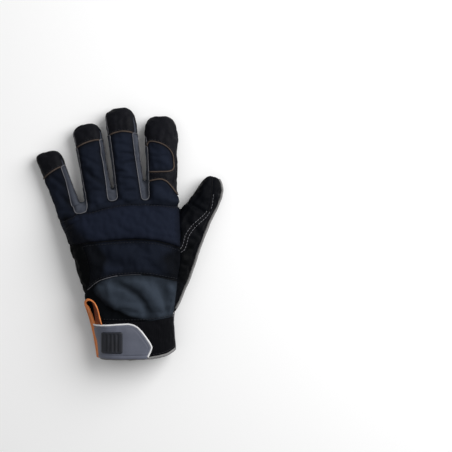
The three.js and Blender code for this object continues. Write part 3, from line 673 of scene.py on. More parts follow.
# Painted shade where the cloth lies in deep shade: how dark, softness of the edge in mm, outline in mm
PAINTED_SHADE_PATCHES = (
    (1.8, 5.0, [(-64, -20), (-48, -22), (-40, -31), (-29, -44), (-18, -47.5), (-7, -51.5), (8, -56),
                (14, -59), (14, -68), (-64, -68)]),
    (1.8, 6.0, [(-66, 40), (-56, 34), (-36, 16), (-28, 4), (-30, -9), (-41, -21), (-64, -21)]),
    (0.9, 7.0, [(60, 22), (42, 15), (29, 6), (27, -6), (37, -16), (60, -22)]),
    (0.35, 3.0, [(-36, 15), (0, 22), (44, 10), (44, -15), (20, -10), (0, -9), (-20, -13), (-40, -24)]),
    (0.45, 6.0, [(-96, 104), (-78, 112), (-58, 62), (-64, 42), (-82, 52)]),
    (0.35, 6.0, [(-62, 116), (-38, 120), (-26, 74), (-44, 56), (-56, 74)]),
)

# Finer gathers: the panels that have them, size across and along the hand, and height
GATHERS = (
    (("back_panel", "little_back"), (13.0, 3.4), 0.34),
    (("index_insert",), (12.0, 5.0), 0.22),
    (("knuckle_pad", "metacarpal_panel"), (30.0, 12.0), 0.45),
    (("wrist_panel", "cuff"), (16.0, 20.0), 0.40),
    (("index_wrap", "cap_little", "cap_ring", "cap_middle", "cap_thumb"), (8.0, 8.0), 0.22),
    (("thumb_back", "thumb_saddle", "thumb_palm", "palm_panel"), (14.0, 9.0), 0.38),
)


def inside_outline(outline, places):
    """Distance to an outline seen from above, below zero inside it."""
    ring = np.array(outline + outline[:1], float)
    away, _ = along(ring, places)
    inside = np.zeros(len(places), bool)
    for (x0, y0), (x1, y1) in zip(ring[:-1], ring[1:]):
        crosses = (y0 > places[:, 1]) != (y1 > places[:, 1])
        at = x0 + (places[:, 1] - y0) / (y1 - y0 + 1e-12) * (x1 - x0)
        inside ^= crosses & (places[:, 0] < at)
    return np.where(inside, -away, away)


def ramp(values, low, high):
    """0 below one value, 1 above the other, and a smooth step between."""
    part = np.clip((values - low) / (high - low), 0, 1)
    return part * part * (3 - 2 * part)


def hump(values, width):
    """1 where a value is zero, falling off smoothly within a width on both sides."""
    return np.exp(-((values / width) ** 2))


# A fold fades towards its ends, and has a low lip along both its sides. Gathers are waves with finer ones on
# top of them
FOLD_END = 0.08
FOLD_LIP_HEIGHT = 0.35
FOLD_LIP_PLACE = 2.1
# Painted shade in the hollows of the folds: how much darker per mm of their depth
FURROW_SHADE = 0.4
FINE_WAVES = 2.3
FINE_WAVE_SHARE = 0.4


def folded(points, normals, fields):
    """The skin with its folds and gathers, and its painted shade: darker in fold hollows and in deeply shaded
    patches.
    """
    facing = np.clip(normals[:, 2] * 2, 0, 1)
    move = np.zeros(len(points))
    for path, width, height in FOLDS:
        away, share = along(path, points[:, :2])
        taper = np.sqrt(np.clip(np.sin(math.pi * (FOLD_END + (1 - 2 * FOLD_END) * share)), 0, 1))
        lip = FOLD_LIP_HEIGHT * hump(away - FOLD_LIP_PLACE * width, width)
        move += height * taper * facing * (hump(away, width) - lip)
    painted_shade = FURROW_SHADE * np.clip(-move, 0, None)
    shaded = ramp(normals[:, 2], -0.7, 0.0)
    # Painted shade over patches that lie in deep shade, on all but the faces that look down
    for strength, edge, outline in PAINTED_SHADE_PATCHES:
        painted_shade += strength * shaded * ramp(-inside_outline(outline, points[:, :2]), -edge, edge)
    nearest = fields.argmin(1)
    for panels, (across, down), height in GATHERS:
        inside = np.isin(nearest, [PANEL_NAMES.index(name) for name in panels])
        spots = points[inside] / (across, down, across)
        waves = np.array([noise.noise(Vector(spot)) for spot in spots])
        fine_waves = np.array([noise.noise(Vector(spot)) for spot in spots * FINE_WAVES])
        move[inside] += height * (waves + FINE_WAVE_SHARE * fine_waves)
    return points + normals * move[:, None], painted_shade


def drawn_out(points):
    """The skin with the corners of its outline drawn out."""
    for place, width, move in DRAWN_OUT:
        away = np.linalg.norm(points[:, :2] - place, axis=1)
        points = points + hump(away, width)[:, None] * np.array(move)
    return points


# How firmly a panel holds its shape while the cloth settles, 0 to 1: foam and doubled leather buckle less
STIFFNESS = {
    "knuckle_pad": 0.45, "cuff": 0.6, "cuff_binding": 0.9, "index_wrap": 0.3,
    "cap_little": 0.4, "cap_ring": 0.4, "cap_middle": 0.4, "cap_thumb": 0.4,
    "fourchette_little_ring": 0.4, "fourchette_ring_middle": 0.4, "fourchette_middle_index": 0.4,
}

# The simulated cloth: light, well damped, cut a little too large, and blown up slightly from inside
SIM_CLOTH = {
    "quality": 5, "mass": 0.15, "shrink_min": -0.06, "use_pressure": True, "uniform_pressure_force": 0.3,
    "tension_stiffness": 12, "compression_stiffness": 12, "tension_damping": 12, "compression_damping": 12,
    "shear_stiffness": 4, "bending_stiffness": 0.6, "air_damping": 4, "pin_stiffness": 1,
    "vertex_group_mass": "sewn",
}


def cloth_moves(points, faces):
    """How far each point moves when cloth that is cut a little too large settles between its seams."""
    coarse, coarse_faces = remeshed(points, faces, SIM_VOXEL)
    coarse_normals = normals_of(coarse, coarse_faces)
    fields = reach_to_panels(coarse, coarse_normals)
    stiff = np.array([STIFFNESS.get(name, 0.0) for name in PANELS] + [1.0])[fields.argmin(1)]
    fields = np.sort(fields, 1)
    held = np.maximum(stiff, 1 - ramp(fields[:, 1] - fields[:, 0], 0.5, SIM_FREE))
    held = np.maximum(held, ramp(-coarse_normals[:, 2], 0.2, 0.7))
    thing = show("cloth", coarse, coarse_faces)
    group = thing.vertex_groups.new(name="sewn")
    for index in np.flatnonzero(held > 0.02).tolist():
        group.add([index], float(held[index]), "REPLACE")
    modifier = thing.modifiers.new("settle", "CLOTH")
    for setting, value in SIM_CLOTH.items():
        setattr(modifier.settings, setting, value)
    modifier.settings.effector_weights.gravity = 0
    modifier.point_cache.frame_end = SIM_FRAMES
    scene = bpy.context.scene
    for number in range(1, SIM_FRAMES + 1):
        scene.frame_set(number)
    graph = bpy.context.evaluated_depsgraph_get()
    moves = points_of(bpy.data.meshes.new_from_object(thing.evaluated_get(graph))) - coarse
    bpy.data.objects.remove(thing)
    scene.frame_set(1)
    far = np.linalg.norm(moves, axis=1, keepdims=True)
    moves = moves * np.minimum(1, SIM_MOST_MOVE / np.maximum(far, 1e-9))
    tree = tree_at(coarse)
    near = [[hit[1] for hit in tree.find_n(place, 4)] for place in points.tolist()]
    return moves[np.array(near)].mean(1)


def seam_links(faces, owner):
    """Point pairs on the seams, and the two fields that meet at each."""
    face = np.tile(np.arange(len(faces)), 3)
    pairs = np.sort(edges_of(faces), 1)
    order = np.lexsort((pairs[:, 1], pairs[:, 0]))
    pairs, face = pairs[order], face[order]
    same = (pairs[:-1] == pairs[1:]).all(1)
    sides = np.sort(np.stack([owner[face[:-1][same]], owner[face[1:][same]]], 1), 1)
    differ = sides[:, 0] != sides[:, 1]
    return pairs[:-1][same][differ], sides[differ]


def seams_between(first, second, shortest=SHORTEST_SEAM):
    """The seams of the cut skin where a panel of one group meets a panel of the other."""
    one, other = ([PANEL_NAMES.index(name) for name in group] for group in (first, second))
    a, b = seam_sides.T
    wanted = (np.isin(a, one) & np.isin(b, other)) | (np.isin(a, other) & np.isin(b, one))
    chains = chains_of(seam_pairs[wanted].tolist())
    lines = [Line(cut_points[c], cut_normals[c], c[0] == c[-1]).eased(SEAM_EASING) for c in chains]
    return [line.even(LINE_PITCH) for line in lines if line.length() > shortest]


def linear(code):
    """An sRGB hex colour as linear red, green, blue and full alpha."""
    shares = [int(code[k : k + 2], 16) / 255 for k in (1, 3, 5)]
    return (*[s / 12.92 if s <= 0.04045 else ((s + 0.055) / 1.055) ** 2.4 for s in shares], 1.0)


def add(tree, kind, inputs=None, **settings):
    """Adds a node with its settings and links, and returns its first output."""
    made = tree.nodes.new("ShaderNode" + kind)
    for name, value in settings.items():
        setattr(made, name, value)
    for name, value in (inputs or {}).items():
        if isinstance(value, bpy.types.NodeSocket):
            tree.links.new(value, made.inputs[name])
        else:
            made.inputs[name].default_value = value
    return made.outputs[0]


def start_material(name, roughness, specular):
    """A new material: its node tree, its shader and the place of each point in metres."""
    made = bpy.data.materials.new(name)
    made.use_nodes = True
    tree = made.node_tree
    shader = tree.nodes["Principled BSDF"]
    shader.inputs["Roughness"].default_value = roughness
    shader.inputs["Specular IOR Level"].default_value = specular
    place = tree.nodes.new("ShaderNodeTexCoord").outputs["Object"]
    return made, tree, shader, place


def stripes(tree, place, direction, pitch):
    """Waves from -1 to 1 with their crests a pitch in mm apart, along a direction."""
    turns = tuple(part * 2 * math.pi / (pitch * MM) for part in direction)
    run = add(tree, "VectorMath", {0: place, 1: turns}, operation="DOT_PRODUCT").node.outputs["Value"]
    return add(tree, "Math", {0: run}, operation="SINE")


def two_tone(tree, shader, low, high, share):
    """The shader's colour, from one hex colour to another. A mix's colour sockets are 6, 7 and 2."""
    mixed = add(tree, "Mix", {0: share, 6: linear(low), 7: linear(high)}, data_type="RGBA")
    tree.links.new(mixed.node.outputs[2], shader.inputs["Base Color"])


def bumped(tree, shader, height, depth):
    """Relief on the shader from a height of 0 to 1 that stands for a depth in mm."""
    relief = add(tree, "Bump", {"Height": height, "Distance": depth * MM, "Strength": 1.0})
    tree.links.new(relief, shader.inputs["Normal"])


def patches(tree, place, size):
    """Soft patches from 0 to 1, each about a size in mm."""
    return add(tree, "TexNoise", {"Vector": place, "Scale": 1 / (size * MM), "Detail": 3.0})


def lit_share(tree, *parts):
    """Weighted sum of several values, kept between 0 and 1."""
    total = None
    for value, weight in parts:
        term = add(tree, "Math", {0: value, 1: weight}, operation="MULTIPLY")
        total = term if total is None else add(tree, "Math", {0: total, 1: term}, operation="ADD")
    return add(tree, "Clamp", {"Value": total})


def point_value(tree, name):
    """A value that the piece stores at each of its points."""
    return add(tree, "Attribute", attribute_name=name).node.outputs["Fac"]


def by_inset(tree, reach, at_rim, inside):
    """A value that changes from the piece's rim to a reach in mm further in."""
    inset = point_value(tree, "inset")
    return add(tree, "MapRange", {"Value": inset, "From Max": reach, "To Min": at_rim, "To Max": inside})


def knitted_nylon(name, low, high, pitch=1.5):
    """Warp-knit stretch nylon. Two sets of fine diagonal ribs give a matt, faintly ribbed cloth.

    Real ribs are about 0.5 mm apart. They are drawn 1.2 or 1.5 mm apart, so that they show.
    """
    made, tree, shader, place = start_material(name, 0.82, 0.07)
    one = stripes(tree, place, (0.71, 0.71, 0.5), pitch)
    other = stripes(tree, place, (0.71, -0.71, 0.5), pitch)
    ribs = add(tree, "Math", {0: one, 1: other}, operation="MULTIPLY")
    fuzz = patches(tree, place, 0.9)
    broad = patches(tree, place, 26)
    # Painted shade: the cloth is darker within 6.5 mm of each seam
    seam = by_inset(tree, 6.5, 0.0, 1.0)
    # Painted shade: darker in fold hollows and deeply shaded patches, as the piece notes
    painted_shade = point_value(tree, "painted_shade")
    share = lit_share(tree, (ribs, 0.10), (fuzz, 0.20), (broad, 0.30), (seam, 0.42), (painted_shade, -0.5))
    two_tone(tree, shader, low, high, share)
    height = lit_share(tree, (ribs, 0.4), (fuzz, 0.6), (broad, 0.2))
    bumped(tree, shader, height, 0.16)
    return made


def brushed_cloth(name, low, high):
    """Brushed stretch jersey. A short nap scatters light, so its folds look soft and even."""
    made, tree, shader, place = start_material(name, 0.9, 0.06)
    nap = patches(tree, place, 0.8)
    broad = patches(tree, place, 30)
    # Painted shade: the cloth is darker within 7 mm of each seam
    seam = by_inset(tree, 7.0, 0.0, 1.0)
    # Painted shade: darker in fold hollows and deeply shaded patches, as the piece notes
    share = lit_share(tree, (nap, 0.25), (broad, 0.30), (seam, 0.45), (point_value(tree, "painted_shade"), -0.55))
    two_tone(tree, shader, low, high, share)
    bumped(tree, shader, nap, 0.10)
    return made


def synthetic_leather(name, low, high, specular=0.09):
    """Microfibre leather, embossed and rolled. Small rounded pebbles catch a satin light.

    Real pebbles are about 0.8 mm wide. They are drawn 1.4 mm wide, so that they show.
    """
    made, tree, shader, place = start_material(name, 0.62, specular)
    cells = add(tree, "TexVoronoi", {"Vector": place, "Scale": 1 / (1.4 * MM)}, feature="SMOOTH_F1")
    broad = patches(tree, place, 18)
    fine = patches(tree, place, 0.7)
    worn = by_inset(tree, 2.5, 1.0, 0.0)
    # Painted shade: darker in fold hollows and deeply shaded patches, as the piece notes
    share = lit_share(tree, (cells, 0.35), (broad, 0.45), (worn, 0.25), (point_value(tree, "painted_shade"), -0.3))
    two_tone(tree, shader, low, high, share)
    rough = add(tree, "MapRange", {"Value": broad, "To Min": 0.52, "To Max": 0.74})
    tree.links.new(rough, shader.inputs["Roughness"])
    height = lit_share(tree, (cells, 0.7), (fine, 0.3))
    bumped(tree, shader, height, 0.18)
    return made


def ribbed_elastic(name, low, high):
    """Knitted elastic. Upright ribs show as fine lines that run towards the fingers.

    Real ribs are about 1 mm apart. They are drawn 1.7 mm apart, so that they show.
    """
    made, tree, shader, place = start_material(name, 0.86, 0.06)
    ribs = stripes(tree, place, (1, 0, 0.6), 1.7)
    yarn = stripes(tree, place, (0, 1, 0), 1.19)
    fuzz = patches(tree, place, 1.0)
    broad = patches(tree, place, 22)
    share = lit_share(tree, (ribs, 0.07), (fuzz, 0.30), (broad, 0.50))
    two_tone(tree, shader, low, high, share)
    bumped(tree, shader, lit_share(tree, (ribs, 0.35), (yarn, 0.12), (fuzz, 0.30), (broad, 0.3)), 0.15)
    return made


def woven_tape(name, low, high, pitch=1.1, fade=0.9):
    """Plain-woven polyester tape. Warp and weft threads cross in a small basket pattern.

    Real threads are about 0.4 mm apart. They are drawn 0.9 to 1.6 mm apart, so that they show.
    """
    made, tree, shader, place = start_material(name, 0.8, 0.2)
    warp = stripes(tree, place, (1, 0.35, 0.3), pitch)
    weft = stripes(tree, place, (-0.35, 1, 0.3), pitch)
    basket = add(tree, "Math", {0: warp, 1: weft}, operation="MULTIPLY")
    broad = patches(tree, place, 9)
    # Painted shade: darker where the piece notes it, in fold hollows, shaded patches and the pull loop's
    # inner face
    share = lit_share(tree, (basket, 0.25), (broad, fade), (point_value(tree, "painted_shade"), -0.75))
    two_tone(tree, shader, low, high, share)
    bumped(tree, shader, lit_share(tree, (basket, 0.5), (broad, 0.5)), 0.18)
    return made


def moulded_rubber(name, low, high, rough=0.5):
    """Moulded soft rubber. A fine eroded mould finish gives a satin face with a broad highlight."""
    made, tree, shader, place = start_material(name, rough, 0.35)
    grit = patches(tree, place, 0.8)
    broad = patches(tree, place, 14)
    worn = by_inset(tree, 3.0, 0.3, 0.0)
    share = lit_share(tree, (grit, 0.2), (broad, 0.7), (worn, 1.0))
    two_tone(tree, shader, low, high, share)
    roughness = add(tree, "MapRange", {"Value": broad, "To Min": rough - 0.08, "To Max": rough + 0.12})
    tree.links.new(roughness, shader.inputs["Roughness"])
    bumped(tree, shader, grit, 0.05)
    return made


def spun_thread(name, low, high):
    """Twisted polyester sewing thread. Its twist shows as fine light and dark turns."""
    made, tree, shader, place = start_material(name, 0.6, 0.25)
    twist = stripes(tree, place, (1, 1, 1), 0.9)
    two_tone(tree, shader, low, high, lit_share(tree, (twist, 0.5), (patches(tree, place, 5), 0.5)))
    return made


def painted_board(name, colour):
    """Matt painted board, the pale floor under the glove."""
    made, _, shader, _ = start_material(name, 0.9, 0.1)
    shader.inputs["Base Color"].default_value = linear(colour)
    return made


def finish_piece(thing, finish, replaced=()):
    """Gives a piece its material and its body, and hides the CAD parts that it replaces."""
    thing.data.materials.append(finishes[finish])
    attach(thing, "root")
    if replaced:
        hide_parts(*replaced)


def patch(values, points, faces, level=0.0):
    """The part of a surface where a value is below a level, as a panel."""
    fields = np.column_stack([values, np.full(len(points), level)])
    points, faces, mark = cut_where(points, faces, fields)
    return Panel(points, faces[mark == 0], normals_of(points, faces))


# Build

for leftover in list(bpy.data.objects):
    bpy.data.objects.remove(leftover)
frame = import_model()

finishes = {
    "back_cloth": knitted_nylon("knitted_nylon_navy", "#05070c", "#1a202e"),
    "pad_cloth": knitted_nylon("knitted_nylon_pad", "#070910", "#181e2d"),
    "grey_cloth": brushed_cloth("brushed_jersey_grey", "#040609", "#38404b"),
    "side_cloth": knitted_nylon("knitted_nylon_grey", "#1d2028", "#565a64", pitch=1.2),
    "leather": synthetic_leather("synthetic_leather_black", "#020204", "#12131b"),
    "cuff_cloth": ribbed_elastic("ribbed_elastic_black", "#030305", "#0f1014"),
    "binding": woven_tape("woven_tape_pale", "#5c5b5b", "#959493"),
    "strap_rubber": moulded_rubber("moulded_rubber_slate", "#41444f", "#636775"),
    "edging": moulded_rubber("moulded_rubber_pale", "#b4b4b8", "#dededf", rough=0.42),
    "grip": moulded_rubber("moulded_rubber_dark", "#0b0c12", "#23262f"),
    "loop_webbing": woven_tape("woven_webbing_orange", "#6a2e10", "#dd8850", pitch=1.6, fade=1.4),
    "palm_leather": synthetic_leather("synthetic_leather_palm", "#010203", "#080a11", 0.05),
    "tan_cord": woven_tape("wound_cord_tan", "#2a2422", "#5e5148", pitch=0.9),
    "pale_cord": woven_tape("wound_cord_pale", "#3f4046", "#7b7b80", pitch=0.9),
    # Painted shade: a darkened copy of the pale cord
    "half_shade_cord": woven_tape("wound_cord_half_shade", "#232428", "#47484d", pitch=0.9),
    "dark_cord": woven_tape("wound_cord_black", "#030304", "#0c0c10", pitch=0.9),
    "dark_thread": spun_thread("spun_thread_black", "#0c0d11", "#20222a"),
    "pale_thread": spun_thread("spun_thread_pale", "#55555a", "#85858a"),
}

# The skin, with its seams where the nearest CAD panel changes. The knuckle pad is evened, and then the folds
# are pressed in
PAD_EVEN_ROUNDS = 60
PAD_EVEN_EDGE = 5.0
skin, skin_faces = rough_skin()
web = Web(skin_faces, len(skin))
normals = normals_of(skin, skin_faces)
reach = web.smoothed(reach_to_panels(skin, normals), SEAM_ROUNDS)
for name, centre, radius in WEB_ENDS:
    outside = np.clip(np.linalg.norm(skin[:, :2] - centre, axis=1) - radius, 0, None)
    below = ramp(centre[1] - skin[:, 1], -1.0, 1.0)
    reach[:, PANEL_NAMES.index(name)] += WEB_END_STEEPNESS * below * outside
nearest, second = np.sort(reach, 1)[:, :2].T
on_pad = (reach.argmin(1) == PANEL_NAMES.index("knuckle_pad")) * ramp(second - nearest, 0.0, PAD_EVEN_EDGE)
skin = web.smoothed(skin, PAD_EVEN_ROUNDS, 0.5 * web.smoothed(on_pad, 4)[:, None])
# The folds also give each point its painted shade: darker in fold hollows and in deeply shaded patches
skin, painted_shade = folded(skin, normals, reach)
skin = drawn_out(skin)
still_skin = skin
skin = skin + web.smoothed(cloth_moves(skin, skin_faces), 3)
skin[:, 2] = np.maximum(skin[:, 2], 0.0)

cut_points, cut_faces, owner = cut_where(skin, skin_faces, reach)
cut_normals = normals_of(cut_points, cut_faces)
seam_pairs, seam_sides = seam_links(cut_faces, owner)

# Panels. The knuckle pad's lower edge is a roll that lies in a hollow of the panel below it, in mm
LIP_HEIGHT = 1.0
LIP_PLACE = 3.0
LIP_WIDTH = 2.6
LIP_START = 1.5
LIP_HOLLOW = 0.7
PALM_LEATHER = ("palm_panel", "thumb_back", "thumb_saddle", "thumb_palm", "cap_thumb")
lip_seam = np.vstack([line.places for line in seams_between(["knuckle_pad"], ["metacarpal_panel"])])
skin_tree = tree_at(skin)
panels = {}
for number, (name, (finish, depth, swell)) in enumerate(PANELS.items()):
    panel = panels[name] = Panel(cut_points, cut_faces[owner == number], cut_normals)
    lift = swell * (1 - np.exp(-panel.inset / SWELL_WIDTH)) - depth * hump(panel.inset, SEAM_WIDTH)
    if name == "knuckle_pad":
        away = distance_to(lip_seam, panel.points)
        lift += LIP_HEIGHT * hump(away - LIP_PLACE, LIP_WIDTH) * ramp(away, 0.0, LIP_START)
    if name == "metacarpal_panel":
        lift -= LIP_HOLLOW * hump(distance_to(lip_seam, panel.points), LIP_WIDTH)
    panel.rise(lift)
    thing = panel.closed(name + "_cloth", panel.points - panel.normals * WALL)
    # The panel notes its painted shade, which its material reads
    note_points(thing, "painted_shade", painted_shade[[skin_tree.find(place)[1] for place in panel.points.tolist()]])
    finish_piece(thing, "palm_leather" if name in PALM_LEATHER else finish, [name])

# Cords and stitch rows that keep to a part of their seam: from and to across the hand, then along it, in mm
KEEP_TO = {
    "wrist_panel_cord": (-70, -14, -70, 70),
    "wrist_panel_half_shade_cord": (-14, 8, -70, 70),
    "wrist_panel_shade_cord": (8, 70, -70, 70),
    "thumb_seam_stitches": (0, 100, -70, 50),
    "thumb_back_stitches": (0, 100, -70, 51),
    "thumb_tip_stitches": (0, 100, 52, 67),
}


def kept_lines(name, lines):
    """The lines, or the part of each that the piece keeps to."""
    if name in KEEP_TO:
        left, right, low, high = KEEP_TO[name]
        lines = [line.part(lambda p: left < p[0] < right and low < p[1] < high) for line in lines]
    return [line for line in lines if len(line.places) > 5]


# Cords along seams: name, panels on each side, radius, height over the skin, finish
BACKS = ("back_panel", "little_back", "index_insert", "knuckle_pad")
CAPS = ("cap_little", "cap_ring", "cap_middle", "index_wrap")
FOURCHETTES = ("fourchette_little_ring", "fourchette_ring_middle", "fourchette_middle_index")
CORDS = (
    ("cap_piping", CAPS[:3], BACKS, 0.75, 0.20, "tan_cord"),
    ("insert_piping", ("index_insert",), ("index_wrap",), 0.65, 0.15, "tan_cord"),
    ("band_piping", ("index_wrap",), ("back_panel",), 0.70, 0.20, "tan_cord"),
    ("finger_side_cord", FOURCHETTES, BACKS + CAPS, 0.42, 0.0, "pale_cord"),
    ("finger_palm_cord", FOURCHETTES, ("palm_panel",), 0.36, 0.0, "pale_cord"),
    ("wrist_panel_cord", ("wrist_panel",), ("metacarpal_panel",), 0.30, -0.10, "pale_cord"),
    # Painted shade: where this seam lies in shade, its cord is drawn grey and then black instead of pale
    ("wrist_panel_half_shade_cord", ("wrist_panel",), ("metacarpal_panel",), 0.29, -0.11, "half_shade_cord"),
    ("wrist_panel_shade_cord", ("wrist_panel",), ("metacarpal_panel",), 0.28, -0.12, "dark_cord"),
    # Painted shadow: a black cord sunk under the knuckle pad's lower lip, where the lip casts its shadow
    ("pad_lower_shadow_cord", ("knuckle_pad",), ("metacarpal_panel",), 0.45, -0.9, "dark_cord"),
    ("thumb_seam_cord", ("thumb_back",), ("thumb_saddle", "palm_panel"), 0.35, -0.15, "dark_cord"),
)
for name, first, second, radius, lift, finish in CORDS:
    lines = kept_lines(name, seams_between(first, second))
    finish_piece(swept(name, lines, round_profile(radius, lift)), finish)

# The grey finger sides run on past the caps, as a narrow tape towards the thumb and a cord on the other side.
# Each cap's row says which of the two it has. They lie where the cap turns down, up to a share of its length
SHOULDERS = (
    ("cap_little", True, False), ("cap_ring", True, True), ("cap_middle", True, True),
    ("index_wrap", False, True),
)
SHOULDER_SLOPE = 0.55
SHOULDER_REACH = 0.62
SHOULDER_START = 2.0
TAPE_PROFILE = ((-1.5, -0.3), (-1.5, 0.2), (-1.0, 0.45), (1.0, 0.45), (1.5, 0.2), (1.5, -0.3))
tapes, edge_cords = [], []
for name, on_thumb_side, on_little_side in SHOULDERS:
    panel = panels[name]
    upright = Web(panel.faces, len(panel.points)).smoothed(panel.normals[:, 2], 10)
    lines = level_lines(panel.outer, panel.normals, panel.faces, upright, SHOULDER_SLOPE)
    outline = max(lines, key=Line.length).eased(10)
    middle = outline.places[:, 0].mean()
    seam = np.vstack([line.places for line in seams_between([name], BACKS)])[:, 1].mean()
    tip = panel.points[:, 1].max()
    low, high = seam - SHOULDER_START, tip - (1 - SHOULDER_REACH) * (tip - seam)
    for wanted, sign, found in ((on_thumb_side, 1, tapes), (on_little_side, -1, edge_cords)):
        line = outline.part(lambda p: sign * (p[0] - middle) > 0 and low < p[1] < high)
        if wanted and len(line.places) >= 8:
            line = line.even(LINE_PITCH)
            share = (line.places[:, 1] - low) / (high - low)
            found.append((line, np.clip(1.25 - share, 0.25, 1.0)))
lines, sizes = zip(*tapes)
finish_piece(swept("fingertip_side_tape", lines, TAPE_PROFILE, sizes), "side_cloth")
lines = [line for line, _ in edge_cords]
finish_piece(swept("fingertip_edge_cord", lines, round_profile(0.42, 0.05)), "pale_cord")

# Stitch rows: name, panel, the panels across the seam, distance from the seam, finish
ROWS = (
    ("cap_middle_stitches", "cap_middle", ("back_panel",), 1.8, "dark_thread"),
    ("cap_ring_stitches", "cap_ring", ("back_panel",), 1.8, "dark_thread"),
    ("cap_little_stitches", "cap_little", ("little_back",), 1.8, "dark_thread"),
    ("index_stitches", "index_wrap", ("index_insert", "back_panel"), 1.7, "dark_thread"),
    ("pad_upper_stitches", "knuckle_pad", ("back_panel", "little_back"), 2.0, "dark_thread"),
    ("metacarpal_stitches", "metacarpal_panel", ("knuckle_pad",), 2.4, "dark_thread"),
    ("metacarpal_lower_stitches", "metacarpal_panel", ("wrist_panel",), 1.8, "dark_thread"),
    ("wrist_panel_stitches", "wrist_panel", ("cuff",), 1.8, "dark_thread"),
    ("thumb_seam_stitches", "thumb_saddle", ("thumb_back",), 1.9, "pale_thread"),
    ("thumb_back_stitches", "thumb_back", ("thumb_saddle",), 1.5, "pale_thread"),
    ("thumb_tip_stitches", "thumb_saddle", ("thumb_back",), 1.7, "pale_thread"),
    ("thumb_edge_stitches", "thumb_palm", ("palm_panel",), 1.8, "dark_thread"),
    ("hem_stitches", "cuff_binding", ("cuff",), 1.6, "pale_thread"),
    ("cuff_stitches", "cuff", ("cuff_binding",), 1.6, "dark_thread"),
)
for name, own, others, gap, finish in ROWS:
    lines = panels[own].beside(seams_between([own], others), gap)
    finish_piece(stitches(name, kept_lines(name, lines)), finish)

# The thick piping round the thumb's outer edge, along the seams that its CAD node follows within a reach
PIPING_RADIUS = 1.35
PIPING_LIFT = 0.7
PIPING_REACH = 7.0
edge_tree = tree_of("thumb_binding")
lines = seams_between(["thumb_back", "thumb_saddle"], ["thumb_palm", "cap_thumb"], 10)
lines = [line.part(lambda p: edge_tree.find_nearest(p.tolist(), PIPING_REACH)[0]) for line in lines]
lines = [line for line in lines if len(line.places) > 8]
thing = swept("thumb_edge_piping", lines, round_profile(PIPING_RADIUS, PIPING_LIFT, 12))
finish_piece(thing, "binding", ["thumb_binding"])

# Palm pads, stuffed between the palm and the floor: how far past its CAD node each one spreads, its form, and
# the inset of its stitches
PAD_REACH = 6.0
PAD_MARGIN = 1.4
PAD_RISE = 0.35
PAD_SWELL = 1.5
PAD_SWELL_WIDTH = 3.0
PAD_SINK = 0.2
PAD_LEAST_WALL = 0.15
PAD_ROW_INSET = 2.2
under = np.vstack([cut_faces[owner == PANEL_NAMES.index(name)] for name in ("palm_panel", "thumb_palm")])
under_points, under_faces, kept = used_only(cut_points, under)
faces_down = cut_normals[kept][:, 2] < 0.1
under_web = Web(under_faces, len(under_points))
for node in ("palm_pad_upper", "palm_pad_heel", "palm_pad_thumb"):
    away = under_web.smoothed(reach_to(node, under_points, PAD_REACH), 4)
    pad = patch(np.where(faces_down, away, PAD_REACH), under_points, under_faces, PAD_MARGIN)
    pad.rise(PAD_RISE + PAD_SWELL * (1 - np.exp(-pad.inset / PAD_SWELL_WIDTH)))
    inner = pad.points - pad.normals * PAD_SINK
    inner[:, 2] = np.maximum(inner[:, 2], pad.outer[:, 2] + PAD_LEAST_WALL)
    thing = pad.closed(node + "_stuffed", inner)
    finish_piece(thing, "palm_leather", [node])
    lines = level_lines(pad.outer, pad.normals, pad.faces, pad.inset, PAD_ROW_INSET)
    lines = [line.eased(6) for line in lines if line.length() > 12]
    finish_piece(stitches(node + "_stitches", lines), "dark_thread")

# The wrist's upper side, more finely divided, which the strap and its grip plate follow
WRIST_START = -50.0
WRIST_EVEN_ROUNDS = 12
WRIST_EVEN_SHARE = 0.4
wrist_top = (still_skin[:, 1] < WRIST_START) & (normals_of(still_skin, skin_faces)[:, 2] > -0.2)
wrist_points, wrist_faces, _ = used_only(still_skin, skin_faces[wrist_top[skin_faces].all(1)])
wrist_points, wrist_faces = finer(wrist_points, wrist_faces)
wrist_points = Web(wrist_faces, len(wrist_points)).smoothed(wrist_points, WRIST_EVEN_ROUNDS, WRIST_EVEN_SHARE)

# Closing strap: outline across the back in mm, clockwise from its upper left corner. It has a rounded rim, a
# groove inside its rim and a crease across its lower right corner
STRAP_OUTLINE = [
    (-38.9, -58.6), (-34, -59.4), (-24, -59.7), (-12, -59.4), (-4.5, -59.2), (0.0, -60.0), (4.0, -62.0),
    (8.0, -65.8), (11.9, -70.8), (15.6, -76.4), (17.4, -80.2), (16.2, -84.2), (13.2, -91.0),
    (6, -91.4), (-12, -91.6), (-28, -91.4), (-35.2, -91.2),
]
STRAP_THICK = 2.3
STRAP_GAP = 0.35
STRAP_END = -92.6
STRAP_RIM_DROP = 0.9
STRAP_RIM_WIDTH = 0.7
GROOVE_DEPTH = 0.28
GROOVE_INSET = 3.0
GROOVE_WIDTH = 0.45
CREASE = ((-9.6, -88.4), (13.0, -88.0))
CREASE_DEPTH = 0.35
strap = patch(inside_outline(STRAP_OUTLINE, wrist_points[:, :2]), wrist_points, wrist_faces)
lift = STRAP_THICK - STRAP_RIM_DROP * hump(strap.inset, STRAP_RIM_WIDTH)
lift -= GROOVE_DEPTH * hump(strap.inset - GROOVE_INSET, GROOVE_WIDTH)
lift -= CREASE_DEPTH * hump(along(CREASE, strap.points[:, :2])[0], GROOVE_WIDTH)
strap.rise(lift)
strap.outer[:, 1] = np.maximum(strap.outer[:, 1], STRAP_END)
thing = strap.closed("strap_tab_moulded", strap.points + strap.normals * STRAP_GAP)
finish_piece(thing, "strap_rubber", ["strap_tab"])

